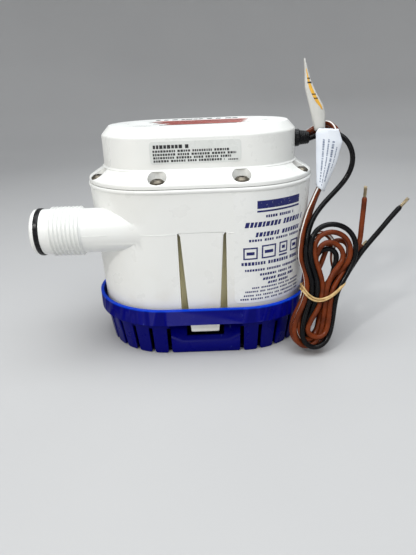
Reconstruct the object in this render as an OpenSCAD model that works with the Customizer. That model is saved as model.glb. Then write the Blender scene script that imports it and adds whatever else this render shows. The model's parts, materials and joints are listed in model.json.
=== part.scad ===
// Automatic submersible bilge pump with a clip-on strainer base.
// The origin is the centre of the strainer's flat underside. +X is the cable end,
// -Y is the labelled front and +Z is up. All sizes are in millimetres.

/* [Housing] */
// Half length of the housing at its top lip
body_half_length = 79; // [70:0.5:90]
// Half width of the housing at its top lip
body_half_width = 53; // [45:0.5:60]
// Height of the housing's lower edge above the floor
body_bottom = 28; // [24:0.5:32]
// Height of the housing's top lip
body_top = 119.6; // [110:0.2:130]
// How much narrower each side is at the lower edge than at the lip
body_draft = 3.3; // [0:0.1:6]
// Wall thickness of the moulded housing
body_wall = 2.4; // [1.8:0.1:4]

/* [Discharge spout] */
// Height of the spout's axis
spout_height = 91; // [80:0.5:100]
// Distance of the spout's axis in front of the centre plane
spout_offset = 35; // [30:0.5:36]
// Distance of the spout's end face from the centre
spout_reach = 113; // [100:1:130]
// Outer diameter of the plain tube
spout_tube_diameter = 30; // [26:0.5:34]
// Bore of the spout
spout_bore_diameter = 25; // [20:0.5:28]
// Outer diameter over the thread crests
thread_diameter = 33.4; // [31:0.1:36]
// Distance between two thread crests
thread_pitch = 2.7; // [2:0.1:3.5]
// Number of thread crests
thread_count = 8; // [4:1:10]

/* [Top cover] */
// Half length of the raised cap
cap_half_length = 67.5; // [60:0.5:72]
// Half width of the raised cap
cap_half_width = 40.5; // [34:0.5:44]
// Height of the lower edge of the cap's chamfer
cap_shoulder = 150.5; // [140:0.5:155]
// Height of the cap's flat top
cap_top = 156.5; // [145:0.5:165]
// Sideways run of the chamfer
cap_chamfer = 5.5; // [2:0.5:9]
// Height of the underside of the screwed flange
flange_bottom = 120.3; // [118:0.1:125]
// Thickness of the flange at its edge
flange_edge = 2.7; // [2:0.1:4]
// Diameter of each screw pocket
pocket_diameter = 14; // [10:0.5:16]

/* [Strainer base] */
// Half width of the skirt at the floor
skirt_low_half_width = 47.5; // [44:0.5:50]
// Half width of the skirt under the rim
skirt_high_half_width = 51.4; // [48:0.1:53]
// Half width of the upper rim
rim_half_width = 54.6; // [53:0.1:57]
// Height of the step below the rim
rim_step = 25.4; // [22:0.2:28]
// Height of the rim's top edge
rim_top = 37; // [33:0.5:40]
// Wall thickness of the base
base_wall = 2.2; // [1.8:0.1:3]
// Width of one strainer slot
slot_width = 2.8; // [2:0.1:4]
// Height of the top of the strainer slots
slot_top = 21.5; // [18:0.5:24]
// Angle between neighbouring slots round each end
slot_angle = 15; // [10:1:20]
// Diameter of the four mounting screw holes
mount_hole_diameter = 4.5; // [4:0.1:6]

/* [Release tabs] */
// Half width of the opening that holds a tab
tab_opening_half = 16; // [14:0.1:18]
// Half width of a tab at its top
tab_top_half = 14.2; // [12:0.1:15]
// Half width of a tab at the rim
tab_low_half = 11.2; // [9:0.1:13]
// Height of the tab's bending line
tab_pivot_height = 89.6; // [85:0.2:95]

/* [Motor and pump] */
// Distance of the motor axis from the centre, towards the spout
motor_offset = 16; // [12:0.5:20]
// Outer diameter of the sealed motor can
can_diameter = 58; // [50:1:60]
// Diameter of the motor shaft
shaft_diameter = 6; // [5:0.5:8]
// Outer diameter of the impeller
impeller_diameter = 56; // [44:1:62]
// Number of impeller vanes
vane_count = 6; // [4:1:8]
// Outer diameter of the pump chamber's wall
chamber_diameter = 82; // [76:1:86]

/* [Float switch] */
// Distance of the float guide from the centre, towards the cable end
float_offset = 48; // [44:0.5:52]
// Diameter of the float
float_diameter = 36; // [28:1:38]
// Height of the float
float_height = 24; // [18:1:30]
// Upward travel of the float
float_travel = 28; // [15:1:34]

/* [Cable] */
// Diameter of each insulated lead
lead_diameter = 3.6; // [3:0.1:4.5]
// Thickness of the hank of coiled leads
hank_thickness = 11.5; // [10:0.5:16]
// Diameter of the cable gland at the wall
gland_diameter = 12; // [10:0.5:14]

/* [Hidden] */
$fn = 64;
cut = 0.1;
wire_sides = 8;

// Every oval is two half circles, this far from the centre, joined by straight sides.
spread = body_half_length - body_half_width;
cap_spread = cap_half_length - cap_half_width;
body_low_half_width = body_half_width - body_draft;

// Deck that divides the wet chamber from the dry compartment.
deck_bottom = 106;
deck_top = 109;

// Screws of the top cover.
cover_screw_front_x = 26.8;
cover_screw_front_y = 47;
cover_screw_side_x = 69.2;
cover_screw_side_y = 20.6;
// Eight screws: two on each long side and two at each end.
cover_screw_spots = [
    for (end = [-1, 1], side = [-1, 1])
        each [
            [end * cover_screw_front_x, side * cover_screw_front_y],
            [end * cover_screw_side_x, side * cover_screw_side_y]
        ]
];
cover_screw_radius = 1.9;
cover_screw_head_radius = 4.8;
cover_screw_head_height = 2.8;
cover_screw_length = 15;
flange_top = flange_bottom + flange_edge;
flange_slope_half_width = 42.2;
flange_slope_top = 129.9;
cover_wall = 2.5;
cap_inner_chamfer = 4;
screw_clearance = 0.25;
gasket_inset = 1.6;
boss_radius = 4.4;
boss_bottom = 98;
screw_hole_bottom = 105;

// Mounting holes in the strainer's floor.
floor_thickness = 2.8;
slot_flare = 1.7;
slot_inner_radius = 43.5;
slot_depth = 9.5;
// Half width of the opening in the ledge that the housing stands on.
ledge_half_width = 46;
mount_hole_x = 34;
mount_hole_y = 22;
mount_hole_spots = [
    for (sx = [-1, 1], sy = [-1, 1]) [sx * mount_hole_x, sy * mount_hole_y]
];

// Outlet passage: length of the full bore, and where its inner port opens into the chamber.
spout_bore_length = 53;
spout_port_x = 20.5;

// Release tab.
// Its recess in the housing has a back wall and two side walls.
pocket_bottom = 29;
pocket_wall = 1.6;
pocket_back_y = 41.2;
tab_pivot_y = body_half_width - 1.03 - body_wall / 2;
tab_edge_radius = 1.15;
tab_leg_bottom = 17;
tab_leg_inner_y = 45.6;
tab_leg_thickness = 2.4;
tab_foot_height = 5;
leg_way_y = 49.2;
window_half_width = 13.2;
window_bottom = 14.6;
catch_half_width = 10.4;
catch_top = 24.7;

// Motor stack heights.
chamber_bottom = 33;
chamber_wall = 2.2;
plate_bottom = 30;
eye_radius = 12;
eye_lead_in = 3;
impeller_bottom = 35;
impeller_height = 12;
can_bottom = 50;
can_top = 138;
can_wall = 1.6;
end_cap_thickness = 3;
shaft_radius = shaft_diameter / 2;
shaft_top = 141;
seal_radius = 7;
seal_height = 4.5;
bearing_radius = 8;
bearing_height = 5;
upper_bearing_bottom = 132;
magnet_bottom = 66;
magnet_height = 46;
magnet_inner_radius = 22;
magnet_span = 124;
core_bottom = 70;
core_height = 38;
core_radius = 20;
core_slots = 7;
commutator_bottom = 118;
commutator_radius = 9;
commutator_height = 9;
brush_bottom = 119.7;
can_radius = can_diameter / 2;
running_gap = 0.04;

// Cable gland axis.
gland_height = 143;
gland_neck_radius = 5;
gland_end_x = 78;

// Control board above the float.
board_x = 34;
board_length = 22;
board_width = 38;
board_bottom = 126;
board_thickness = 1.6;
post_radius = 2.6;
post_pin_radius = 1.5;

// Float stack heights.
guide_radius = 4;
guide_foot_top = 38;
guide_foot_thickness = 3;
guide_top = 114;
float_magnet_up = 9;
float_magnet_radius = 9;
float_magnet_height = 5;

// Centre lines of the leads, from the gland to the hank and from the hank to the ends.
black_route = [
    [78, -2.2, 141.8], [79.6, -2.2, 142], [83, -2.8, 144], [88.6, -4.2, 145.8], [94.8, -7.2, 145.8],
    [99.6, -10.4, 143], [103.6, -12.6, 137.6], [106, -14, 131], [105.2, -15, 123.6],
    [101.6, -16, 115.6], [95, -18, 108.6], [87.6, -21, 101.6], [80.8, -25, 95],
    [75, -30.6, 86.6], [72.2, -36, 76], [71.2, -39.6, 65]
];
striped_route = [
    [78, -0.2, 145.6], [79.6, -0.2, 145.8], [82, -0.8, 149], [85, -2.4, 152], [89, -5.6, 153.2],
    [92.4, -9.2, 151], [93.8, -12, 146], [93.2, -13.2, 138], [91, -14, 128.8],
    [87.2, -15.4, 119.4], [82.8, -17.6, 110], [77.8, -21.4, 101], [73, -27.6, 91.8],
    [69.4, -33.4, 82], [68.2, -36.4, 74], [67.8, -38.6, 65]
];
brown_route = [
    [78, 2.2, 141.8], [79.6, 2.2, 142], [82.4, 2.4, 145], [86.6, 1.8, 148.8], [91.4, 0.2, 150.8],
    [95.8, -2.2, 149.4], [97.8, -4.4, 144.6], [96.8, -6.2, 137], [93.4, -8.4, 127.6],
    [89, -10.6, 118.4], [84.6, -13, 109], [80, -17, 100.4], [75.8, -23, 91.2],
    [73, -28.8, 82], [71.4, -32.2, 74], [71, -35.4, 65]
];
black_tail_route = [
    [106.6, -34.4, 60], [109.4, -33, 63.6], [114, -31, 69], [121.8, -28, 77], [128.8, -26, 84.8],
    [134.4, -24, 91], [139.4, -23, 96.2]
];
striped_tail_route = [
    [108, -34, 69], [109.4, -32, 74], [111.2, -29, 82], [112.6, -26, 92], [113.4, -24, 104]
];
brown_tail_route = [[108, -29.4, 65.6], [111.2, -27.8, 67.6], [114, -26.4, 69.6]];
bare_radius = 1.3;
bare_length = 8;
short_bare_length = 5;

// Hank of coiled leads: a flat bundle that leans back, pinched where the band holds it.
hank_low = [74.4, -51, 17];
hank_high = [90.2, -33.8, 70];
hank_low_radius = 14.6;
hank_high_radius = 20.6;
hank_waist_half = 13.2;
hank_waist_height = 25.4;
band_radius = 1.1;
band_height = 3.6;
band_tilt = 14;

function unit(v) = v / norm(v);
hank_up = unit(hank_high - hank_low);
hank_side = unit(cross(hank_up, [0, -1, 0]));
hank_normal = cross(hank_side, hank_up);
hank_length = norm(hank_high - hank_low);

// ---- shared shapes ----

module oval2d(half_spread, half_width) {
    for (side = [-1, 1])
        translate([side * half_spread, 0])
            circle(r = half_width);
    square([2 * half_spread, 2 * half_width], center = true);
}

module oval(half_spread, half_width, height) {
    linear_extrude(height)
        oval2d(half_spread, half_width);
}

// Oval block whose sides lean evenly from one half width to another.
module drafted_oval(half_spread, low_half, high_half, height) {
    for (side = [-1, 1])
        translate([side * half_spread, 0, 0])
            cylinder(r1 = low_half, r2 = high_half, h = height);
    rotate([90, 0, 90])
        linear_extrude(2 * half_spread, center = true)
            polygon([[-low_half, 0], [low_half, 0], [high_half, height], [-high_half, height]]);
}

function body_half_at(z) =
    body_low_half_width + body_draft * (z - body_bottom) / (body_top - body_bottom);

// Housing profile between two heights, made larger or smaller all round by a step.
module body_block(z_low, z_high, step) {
    translate([0, 0, z_low])
        drafted_oval(spread, body_half_at(z_low) + step, body_half_at(z_high) + step, z_high - z_low);
}

module at_cover_screws() {
    for (spot = cover_screw_spots)
        translate([spot[0], spot[1], 0])
            children();
}

module tube(outer, inner, height) {
    difference() {
        cylinder(r = outer, h = height);
        translate([0, 0, -cut])
            cylinder(r = inner, h = height + 2 * cut);
    }
}

// ---- strainer base ----

module slot_cutters() {
    for (end = [-1, 1], angle = [0 : slot_angle : 180])
        translate([end * spread, 0, 0])
            rotate([0, 0, end * (angle - 90)])
                translate([end > 0 ? slot_inner_radius : -slot_inner_radius - slot_depth, 0, 0]) {
                    translate([0, -slot_width / 2, -cut])
                        cube([slot_depth, slot_width, slot_top + cut]);
                    // Flared foot of the slot.
                    rotate([45, 0, 0])
                        translate([0, -slot_flare, -slot_flare])
                            cube([slot_depth, 2 * slot_flare, 2 * slot_flare]);
                }
}

module mount_holes() {
    for (spot = mount_hole_spots)
        translate([spot[0], spot[1], -cut])
            cylinder(d = mount_hole_diameter, h = floor_thickness + 2 * cut);
}

module strainer_base() {
    color([0.0, 0.02, 0.55])
        difference() {
            union() {
                difference() {
                    drafted_oval(spread, skirt_low_half_width, skirt_high_half_width, rim_step);
                    translate([0, 0, floor_thickness])
                        drafted_oval(spread, skirt_low_half_width + 0.4 - base_wall,
                            skirt_high_half_width + 0.01 - base_wall, rim_step - floor_thickness + cut);
                }
                translate([0, 0, rim_step])
                    difference() {
                        oval(spread, rim_half_width, rim_top - rim_step);
                        translate([0, 0, body_bottom - rim_step])
                            oval(spread, rim_half_width - base_wall, rim_top - body_bottom + cut);
                        translate([0, 0, -cut])
                            oval(spread, ledge_half_width, body_bottom - rim_step + 2 * cut);
                    }
            }
            slot_cutters();
            mount_holes();
            for (side = [-1, 1]) {
                // Window through the skirt, and the way down to it for the tab's leg.
                translate([-window_half_width, side > 0 ? 46 : -54, window_bottom])
                    cube([2 * window_half_width, 8, rim_step - window_bottom]);
                translate([-window_half_width, side > 0 ? 40 : -leg_way_y, window_bottom + 2])
                    cube([2 * window_half_width, leg_way_y - 40, body_bottom + cut - window_bottom - 2]);
            }
        }
}

// ---- pump housing ----

module spout_profile() {
    tube_r = spout_tube_diameter / 2;
    crest_r = thread_diameter / 2;
    root_r = tube_r + 0.35;
    groove_r = tube_r - 0.3;
    thread_start = 12;
    // Height runs from the spout's end face towards the housing.
    polygon(concat(
        [[0, 0], [tube_r - 0.6, 0], [tube_r + 0.4, 1], [tube_r + 0.4, 2.8], [groove_r, 2.8],
            [groove_r, 6.2], [root_r, 6.2], [root_r, thread_start]],
        [for (i = [0 : thread_count - 1], p = [0 : 3])
            [p == 1 || p == 2 ? crest_r : root_r,
                thread_start + thread_pitch * (i + [0.12, 0.34, 0.5, 0.82][p])]],
        [[root_r, thread_start + thread_pitch * thread_count],
            [tube_r, thread_start + thread_pitch * thread_count], [tube_r, spout_reach - 18],
            [0, spout_reach - 18]]
    ));
}

module spout_solid() {
    translate([-spout_reach, -spout_offset, spout_height])
        rotate([0, 90, 0])
            rotate_extrude()
                spout_profile();
}

module tab_opening(side) {
    low = side > 0 ? 46.6 : -54;
    translate([-tab_opening_half, low, body_bottom - cut])
        cube([2 * tab_opening_half, 7.4, tab_pivot_height + 1.4 - body_bottom + cut]);
}

// Recesses behind the two release tabs.
module tab_pockets() {
    height = deck_bottom - pocket_bottom + cut;
    for (side = [0, 1])
        mirror([0, side, 0]) {
            translate([-tab_opening_half, pocket_back_y, pocket_bottom])
                cube([2 * tab_opening_half, pocket_wall, height]);
            intersection() {
                for (end = [0, 1])
                    mirror([end, 0, 0])
                        translate([tab_opening_half, pocket_back_y, pocket_bottom])
                            cube([pocket_wall, 10, height]);
                body_block(pocket_bottom, deck_top, -1);
            }
        }
}

module pump_housing() {
    chamber_r = chamber_diameter / 2;
    bore_r = spout_bore_diameter / 2;
    color([0.93, 0.93, 0.9])
        difference() {
            union() {
                difference() {
                    body_block(body_bottom, body_top, 0);
                    body_block(body_bottom - cut, deck_bottom, -body_wall);
                    body_block(deck_top, body_top + cut, -body_wall);
                }
                translate([-motor_offset, 0, chamber_bottom])
                    cylinder(r = chamber_r, h = deck_bottom - chamber_bottom + cut);
                spout_solid();
                tab_pockets();
                // Posts that carry the control board.
                at_board_posts(deck_top - cut)
                    cylinder(r = post_radius, h = board_bottom - deck_top + cut);
                at_board_posts(deck_top)
                    cylinder(r = post_pin_radius, h = board_bottom + board_thickness - deck_top);
                // Bosses for the cover screws.
                intersection() {
                    at_cover_screws()
                        translate([0, 0, boss_bottom])
                            cylinder(r = boss_radius, h = body_top - boss_bottom);
                    body_block(boss_bottom, body_top, -1);
                }
            }
            translate([-motor_offset, 0, chamber_bottom - cut])
                cylinder(r = chamber_r - chamber_wall, h = deck_bottom - chamber_bottom + cut);
            // Bore of the outlet, then a slightly narrower port into the pump chamber.
            translate([-spout_reach - cut, -spout_offset, spout_height])
                rotate([0, 90, 0]) {
                    cylinder(r = bore_r, h = spout_bore_length + cut);
                    cylinder(r = bore_r - 0.5, h = spout_reach - spout_port_x);
                }
            translate([-motor_offset, 0, deck_bottom - cut])
                cylinder(r = can_radius + 0.3, h = deck_top - deck_bottom + 2 * cut);
            at_cover_screws()
                translate([0, 0, screw_hole_bottom])
                    cylinder(r = cover_screw_radius + 0.05, h = body_top - screw_hole_bottom + cut);
            for (side = [-1, 1])
                tab_opening(side);
            // Passage for the float guide's stem.
            translate([float_offset, 0, deck_bottom - cut])
                cylinder(r = guide_radius + 0.1, h = deck_top - deck_bottom + 2 * cut);
        }
}

// ---- release tabs ----

// Flat outline of a tab, wide at the top and narrow at the catch.
module tab_outline() {
    lean = (tab_top_half - tab_low_half) / (tab_pivot_height - rim_top);
    foot_half = tab_low_half - lean * (rim_top - tab_leg_bottom);
    polygon([
        [-foot_half, tab_leg_bottom - 1], [foot_half, tab_leg_bottom - 1],
        [tab_top_half, tab_pivot_height], [-tab_top_half, tab_pivot_height]
    ]);
}

module release_tab(side) {
    color([0.93, 0.93, 0.9])
        intersection() {
            rotate([90, 0, 0])
                translate([0, 0, side > 0 ? -60 : 40])
                    linear_extrude(20)
                        union() {
                            tab_outline();
                            translate([-tab_top_half, tab_pivot_height - 0.5])
                                square([2 * tab_top_half, 3]);
                        }
            union() {
                // Wall of the tab, flush with the housing.
                difference() {
                    body_block(body_bottom + 0.6, tab_pivot_height, 0);
                    body_block(body_bottom, tab_pivot_height + cut, -body_wall);
                }
                // Rounded upper edge at the bending line.
                translate([0, side * tab_pivot_y, tab_pivot_height])
                    rotate([0, 90, 0])
                        cylinder(r = tab_edge_radius, h = 2 * tab_top_half, center = true);
                // Thick foot and leg that reach down behind the rim.
                mirror([0, side > 0 ? 0 : 1, 0]) {
                    translate([-tab_top_half, tab_leg_inner_y, tab_leg_bottom])
                        cube([2 * tab_top_half, tab_leg_thickness, body_bottom + 2 - tab_leg_bottom]);
                    translate([-tab_top_half, tab_leg_inner_y, body_bottom])
                        cube([2 * tab_top_half, tab_leg_thickness + 0.6, tab_foot_height]);
                }
                // Catch that shows in the strainer's window.
                rotate([90, 0, 90])
                    linear_extrude(2 * catch_half_width, center = true)
                        polygon([
                            [side * 46, tab_leg_bottom], [side * 48.6, tab_leg_bottom],
                            [side * 50.6, tab_leg_bottom + 1.6], [side * 51, catch_top],
                            [side * 46, catch_top]
                        ]);
            }
        }
}

module front_release_tab() {
    release_tab(-1);
}

module rear_release_tab() {
    release_tab(1);
}

// ---- top cover, gasket and screws ----

// Screwed flange of the cover: a flat edge, a slope up to the cap and six screw pockets.
module cover_flange() {
    color([0.93, 0.94, 0.93])
        difference() {
            union() {
                translate([0, 0, flange_bottom])
                    oval(spread, body_half_width, flange_edge);
                translate([0, 0, flange_top])
                    drafted_oval(spread, body_half_width, flange_slope_half_width,
                        flange_slope_top - flange_top);
            }
            translate([0, 0, flange_bottom - cut])
                oval(cap_spread, cap_half_width, flange_slope_top - flange_bottom + 2 * cut);
            at_cover_screws() {
                translate([0, 0, flange_top])
                    cylinder(d = pocket_diameter, h = flange_slope_top - flange_top + cut);
                translate([0, 0, flange_bottom - cut])
                    cylinder(r = cover_screw_radius + screw_clearance, h = flange_edge + 2 * cut);
            }
        }
}

// Raised cap over the electronics, moulded in one with the flange that surrounds its foot.
module cover_cap() {
    inner_half = cap_half_width - cover_wall;
    color([0.93, 0.94, 0.93])
        difference() {
            union() {
                translate([0, 0, flange_bottom])
                    oval(cap_spread, cap_half_width, cap_shoulder - flange_bottom);
                translate([0, 0, cap_shoulder])
                    drafted_oval(cap_spread, cap_half_width, cap_half_width - cap_chamfer,
                        cap_top - cap_shoulder);
            }
            translate([0, 0, flange_bottom - cut])
                oval(cap_spread, inner_half, cap_shoulder - 1 - flange_bottom + cut);
            translate([0, 0, cap_shoulder - 1 - cut])
                drafted_oval(cap_spread, inner_half, inner_half - cap_inner_chamfer,
                    cap_top - cap_shoulder - 1.5 + cut);
            translate([cap_half_length - cover_wall - 1, 0, gland_height])
                rotate([0, 90, 0])
                    cylinder(r = gland_neck_radius + 0.1, h = cover_wall + 2);
        }
}

module cover_gasket() {
    color([0.12, 0.12, 0.12])
        translate([0, 0, body_top])
            difference() {
                oval(spread, body_half_width - gasket_inset, flange_bottom - body_top);
                translate([0, 0, -cut])
                    oval(cap_spread, cap_half_width - 1, 2);
                at_cover_screws()
                    translate([0, 0, -cut])
                        cylinder(r = cover_screw_radius + screw_clearance, h = 2);
            }
}

// Pan head with a cross recess, and a shank that ends in the housing's boss.
module cover_screw() {
    recess_length = 5.4;
    recess_width = 1.1;
    difference() {
        union() {
            cylinder(r = cover_screw_head_radius, h = cover_screw_head_height * 0.45);
            translate([0, 0, cover_screw_head_height * 0.45])
                cylinder(r1 = cover_screw_head_radius, r2 = cover_screw_head_radius * 0.62,
                    h = cover_screw_head_height * 0.55);
        }
        for (turn = [0, 90])
            rotate([0, 0, turn])
                translate([-recess_length / 2, -recess_width / 2, cover_screw_head_height - 1.2])
                    cube([recess_length, recess_width, 2]);
    }
    translate([0, 0, -cover_screw_length])
        cylinder(r = cover_screw_radius, h = cover_screw_length + cut);
}

module cover_screws() {
    color([0.6, 0.6, 0.58])
        at_cover_screws()
            translate([0, 0, flange_top])
                rotate([0, 0, 25])
                    cover_screw();
}

module cable_gland() {
    // Inner flange, neck through the cap's wall, outer collar and a tapering tail.
    wall_x = cap_half_length;
    gland_r = gland_diameter / 2;
    flange_r = 6.8;
    flange_height = 1.6;
    neck = 5.4;
    collar_end = neck + 3.4;
    tail_r = 4.3;
    tip = gland_end_x - wall_x + neck - 0.1;
    color([0.03, 0.03, 0.035])
        translate([wall_x - neck + 0.1, 0, gland_height])
            rotate([0, 90, 0])
                rotate_extrude()
                    polygon([
                        [0, 0], [flange_r, 0], [flange_r, flange_height],
                        [gland_neck_radius, flange_height], [gland_neck_radius, neck],
                        [gland_r, neck], [gland_r, collar_end], [gland_r - 0.7, collar_end + 1],
                        [tail_r + 0.4, tip - 0.6], [tail_r, tip], [0, tip]
                    ]);
}

module spout_o_ring() {
    // Square-backed ring that fills the groove behind the spout's end.
    color([0.02, 0.02, 0.02])
        translate([-spout_reach + 2.9, -spout_offset, spout_height])
            rotate([0, 90, 0])
                rotate_extrude()
                    polygon([
                        [spout_tube_diameter / 2 - 0.3, 0], [spout_tube_diameter / 2 + 0.7, 0],
                        [spout_tube_diameter / 2 + 1.1, 0.8], [spout_tube_diameter / 2 + 1.1, 2.4],
                        [spout_tube_diameter / 2 + 0.7, 3.2], [spout_tube_diameter / 2 - 0.3, 3.2]
                    ]);
}

// ---- pump and motor ----

module on_motor_axis(z) {
    translate([-motor_offset, 0, z])
        children();
}

module suction_plate() {
    color([0.2, 0.2, 0.22])
        on_motor_axis(plate_bottom)
            difference() {
                union() {
                    cylinder(r = chamber_diameter / 2 - 0.4, h = chamber_bottom - plate_bottom);
                    cylinder(r = chamber_diameter / 2 - 2.5, h = chamber_bottom - plate_bottom + 1.6);
                }
                translate([0, 0, -cut])
                    cylinder(r = eye_radius, h = 6);
                translate([0, 0, -cut])
                    cylinder(r1 = eye_radius + eye_lead_in, r2 = eye_radius, h = 2);
            }
}

module impeller() {
    hub_r = 7;
    disc = 2.4;
    vane_base = 10;
    vane_thickness = 1.8;
    vane_lean = 24;
    impeller_r = impeller_diameter / 2;
    color([0.15, 0.15, 0.17])
        on_motor_axis(impeller_bottom)
            difference() {
                union() {
                    translate([0, 0, impeller_height - disc])
                        cylinder(r = impeller_r, h = disc);
                    cylinder(r = hub_r, h = impeller_height + 1);
                    for (i = [0 : vane_count - 1])
                        rotate([0, 0, i * 360 / vane_count])
                            translate([0, -vane_base, 1])
                                rotate([0, 0, vane_lean])
                                    translate([4, 0, 0])
                                        cube([impeller_r - 9, vane_thickness, impeller_height - 1]);
                }
                translate([0, 0, 2])
                    cylinder(r = shaft_radius, h = impeller_height);
            }
}

module motor_shaft() {
    color([0.7, 0.7, 0.72])
        on_motor_axis(impeller_bottom + 2)
            cylinder(r = shaft_radius, h = shaft_top - impeller_bottom - 2);
}

module shaft_seal() {
    color([0.05, 0.05, 0.05])
        on_motor_axis(can_bottom)
            tube(seal_radius, shaft_radius + running_gap, seal_height);
}

module motor_can() {
    color([0.75, 0.76, 0.78])
        on_motor_axis(0)
            difference() {
                union() {
                    translate([0, 0, can_bottom])
                        cylinder(r = can_radius, h = can_top - can_bottom);
                    translate([0, 0, deck_top + 0.8])
                        cylinder(r = can_radius + 5, h = 2.2);
                }
                translate([0, 0, can_bottom + 12])
                    cylinder(r = can_radius - can_wall, h = can_top - can_bottom);
                translate([0, 0, can_bottom + seal_height])
                    cylinder(r = bearing_radius, h = 20);
                translate([0, 0, can_bottom - cut])
                    cylinder(r = seal_radius, h = 10);
            }
}

module motor_can_seal() {
    color([0.05, 0.05, 0.05])
        on_motor_axis(deck_top)
            tube(can_radius + 4, can_radius + 0.5, 0.8);
}

module lower_bearing() {
    color([0.7, 0.7, 0.72])
        on_motor_axis(can_bottom + 5)
            tube(bearing_radius, shaft_radius + running_gap, bearing_height);
}

module field_magnets() {
    color([0.25, 0.25, 0.27])
        on_motor_axis(magnet_bottom)
            for (side = [0, 180])
                rotate([0, 0, side - magnet_span / 2])
                    rotate_extrude(angle = magnet_span)
                        translate([magnet_inner_radius, 0])
                            square([can_radius - can_wall - magnet_inner_radius - 0.1, magnet_height]);
}

module at_core_slots() {
    for (i = [0 : core_slots - 1])
        rotate([0, 0, i * 360 / core_slots])
            children();
}

module armature_core() {
    color([0.45, 0.45, 0.48])
        on_motor_axis(core_bottom)
            difference() {
                cylinder(r = core_radius, h = core_height);
                translate([0, 0, -cut])
                    cylinder(r = shaft_radius, h = core_height + 2 * cut);
                at_core_slots()
                    translate([11, -2, -cut])
                        cube([12, 4, core_height + 2 * cut]);
            }
}

module armature_windings() {
    // One ring of end turns below and above the core, joined by bars in its slots.
    end_turns = 7.5;
    color([0.72, 0.36, 0.12])
        on_motor_axis(0) {
            for (z = [core_bottom - end_turns, core_bottom + core_height])
                translate([0, 0, z])
                    tube(17.5, shaft_radius + 1, end_turns);
            at_core_slots()
                translate([11.3, -1.8, core_bottom - 1])
                    cube([6, 3.6, core_height + 2]);
        }
}

module commutator() {
    color([0.75, 0.42, 0.2])
        on_motor_axis(commutator_bottom)
            difference() {
                cylinder(r = commutator_radius, h = commutator_height);
                translate([0, 0, -cut])
                    cylinder(r = shaft_radius, h = commutator_height + 2 * cut);
                at_core_slots()
                    translate([7.6, -0.3, -cut])
                        cube([3, 0.6, commutator_height + 2 * cut]);
            }
}

module brush_holder() {
    color([0.35, 0.22, 0.1])
        on_motor_axis(commutator_bottom - 0.5)
            difference() {
                tube(can_radius - can_wall, 11, 10);
                for (side = [0, 180])
                    rotate([0, 0, side])
                        translate([9, -3, 2])
                            cube([14, 6, 5]);
            }
}

module carbon_brushes() {
    color([0.1, 0.1, 0.1])
        on_motor_axis(brush_bottom)
            for (side = [0, 180])
                rotate([0, 0, side])
                    translate([9.3, -2.8, 0])
                        cube([11, 5.6, 4.6]);
}

module upper_bearing() {
    color([0.7, 0.7, 0.72])
        on_motor_axis(upper_bearing_bottom)
            tube(bearing_radius, shaft_radius + running_gap, bearing_height);
}

module motor_end_cap() {
    color([0.75, 0.76, 0.78])
        on_motor_axis(0)
            difference() {
                union() {
                    translate([0, 0, can_top])
                        cylinder(r = can_radius, h = end_cap_thickness);
                    translate([0, 0, upper_bearing_bottom - 1])
                        cylinder(r = bearing_radius + 3, h = can_top - upper_bearing_bottom + 2);
                }
                translate([0, 0, upper_bearing_bottom - 1 - cut])
                    cylinder(r = bearing_radius, h = bearing_height + 1 + cut);
                translate([0, 0, upper_bearing_bottom - 2])
                    cylinder(r = shaft_radius + 0.6, h = can_top + end_cap_thickness - 130 + 2 * cut);
            }
}

module motor_terminals() {
    color([0.8, 0.7, 0.4])
        on_motor_axis(can_top + end_cap_thickness)
            for (side = [-1, 1])
                translate([20, side * 6 - 2.4, 0])
                    cube([0.8, 4.8, 7]);
}

// ---- float switch and electronics ----

module on_float_axis(z) {
    translate([float_offset, 0, z])
        children();
}

module float_body() {
    color([0.9, 0.5, 0.12])
        on_float_axis(guide_foot_top)
            difference() {
                cylinder(d = float_diameter, h = float_height);
                translate([0, 0, -cut])
                    cylinder(r = guide_radius + 0.3, h = float_height + 1);
                translate([0, 0, float_magnet_up])
                    cylinder(r = float_magnet_radius, h = float_magnet_height);
            }
}

module float_magnet() {
    color([0.2, 0.2, 0.22])
        on_float_axis(guide_foot_top + float_magnet_up)
            tube(float_magnet_radius, guide_radius + 0.8, float_magnet_height);
}

module float_guide() {
    color([0.85, 0.85, 0.82])
        on_float_axis(0)
            difference() {
                union() {
                    translate([0, 0, guide_foot_top - guide_foot_thickness]) {
                        cylinder(r = guide_radius, h = guide_top - guide_foot_top + guide_foot_thickness);
                        cylinder(r = 2 * guide_radius, h = guide_foot_thickness);
                    }
                    translate([0, 0, deck_top])
                        cylinder(r = 7, h = 2);
                }
                translate([0, 0, guide_foot_top])
                    cylinder(r = 2.6, h = 90);
            }
}

module reed_switch() {
    color([0.3, 0.5, 0.35])
        on_float_axis(0) {
            translate([0, 0, 60])
                cylinder(r = 1.4, h = 16);
            translate([0, 0, 46])
                cylinder(r = 0.5, h = board_bottom - 46);
        }
}

module at_board_posts(z) {
    for (x = [board_x + 3, board_x + board_length - 3], side = [-1, 1])
        translate([x, side * (board_width / 2 - 3), z])
            children();
}

module control_board() {
    color([0.05, 0.3, 0.12])
        difference() {
            translate([board_x, -board_width / 2, board_bottom])
                cube([board_length, board_width, board_thickness]);
            at_board_posts(board_bottom - cut)
                cylinder(r = post_pin_radius + 0.1, h = board_thickness + 2 * cut);
        }
}

module board_components() {
    color([0.12, 0.12, 0.13])
        translate([board_x, 0, board_bottom + board_thickness]) {
            // Relay, terminal block, controller chip and two capacitors.
            translate([5, 1, 0])
                cube([12, 11, 13]);
            translate([9, -14, 0])
                cube([9, 12, 9]);
            translate([2.5, -10, 0])
                cube([5, 7, 2]);
            for (y = [4, 9])
                translate([2.5, y, 0])
                    cylinder(r = 2, h = 7);
        }
}

module inner_leads() {
    color([0.35, 0.12, 0.06])
        for (y = [-2.1, 2.1])
            translate([52, y, gland_height - 1.6])
                rotate([0, 90, 0])
                    cylinder(r = 1.2, h = cap_half_length - 5.4 - 52);
}

// ---- leads ----

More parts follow.
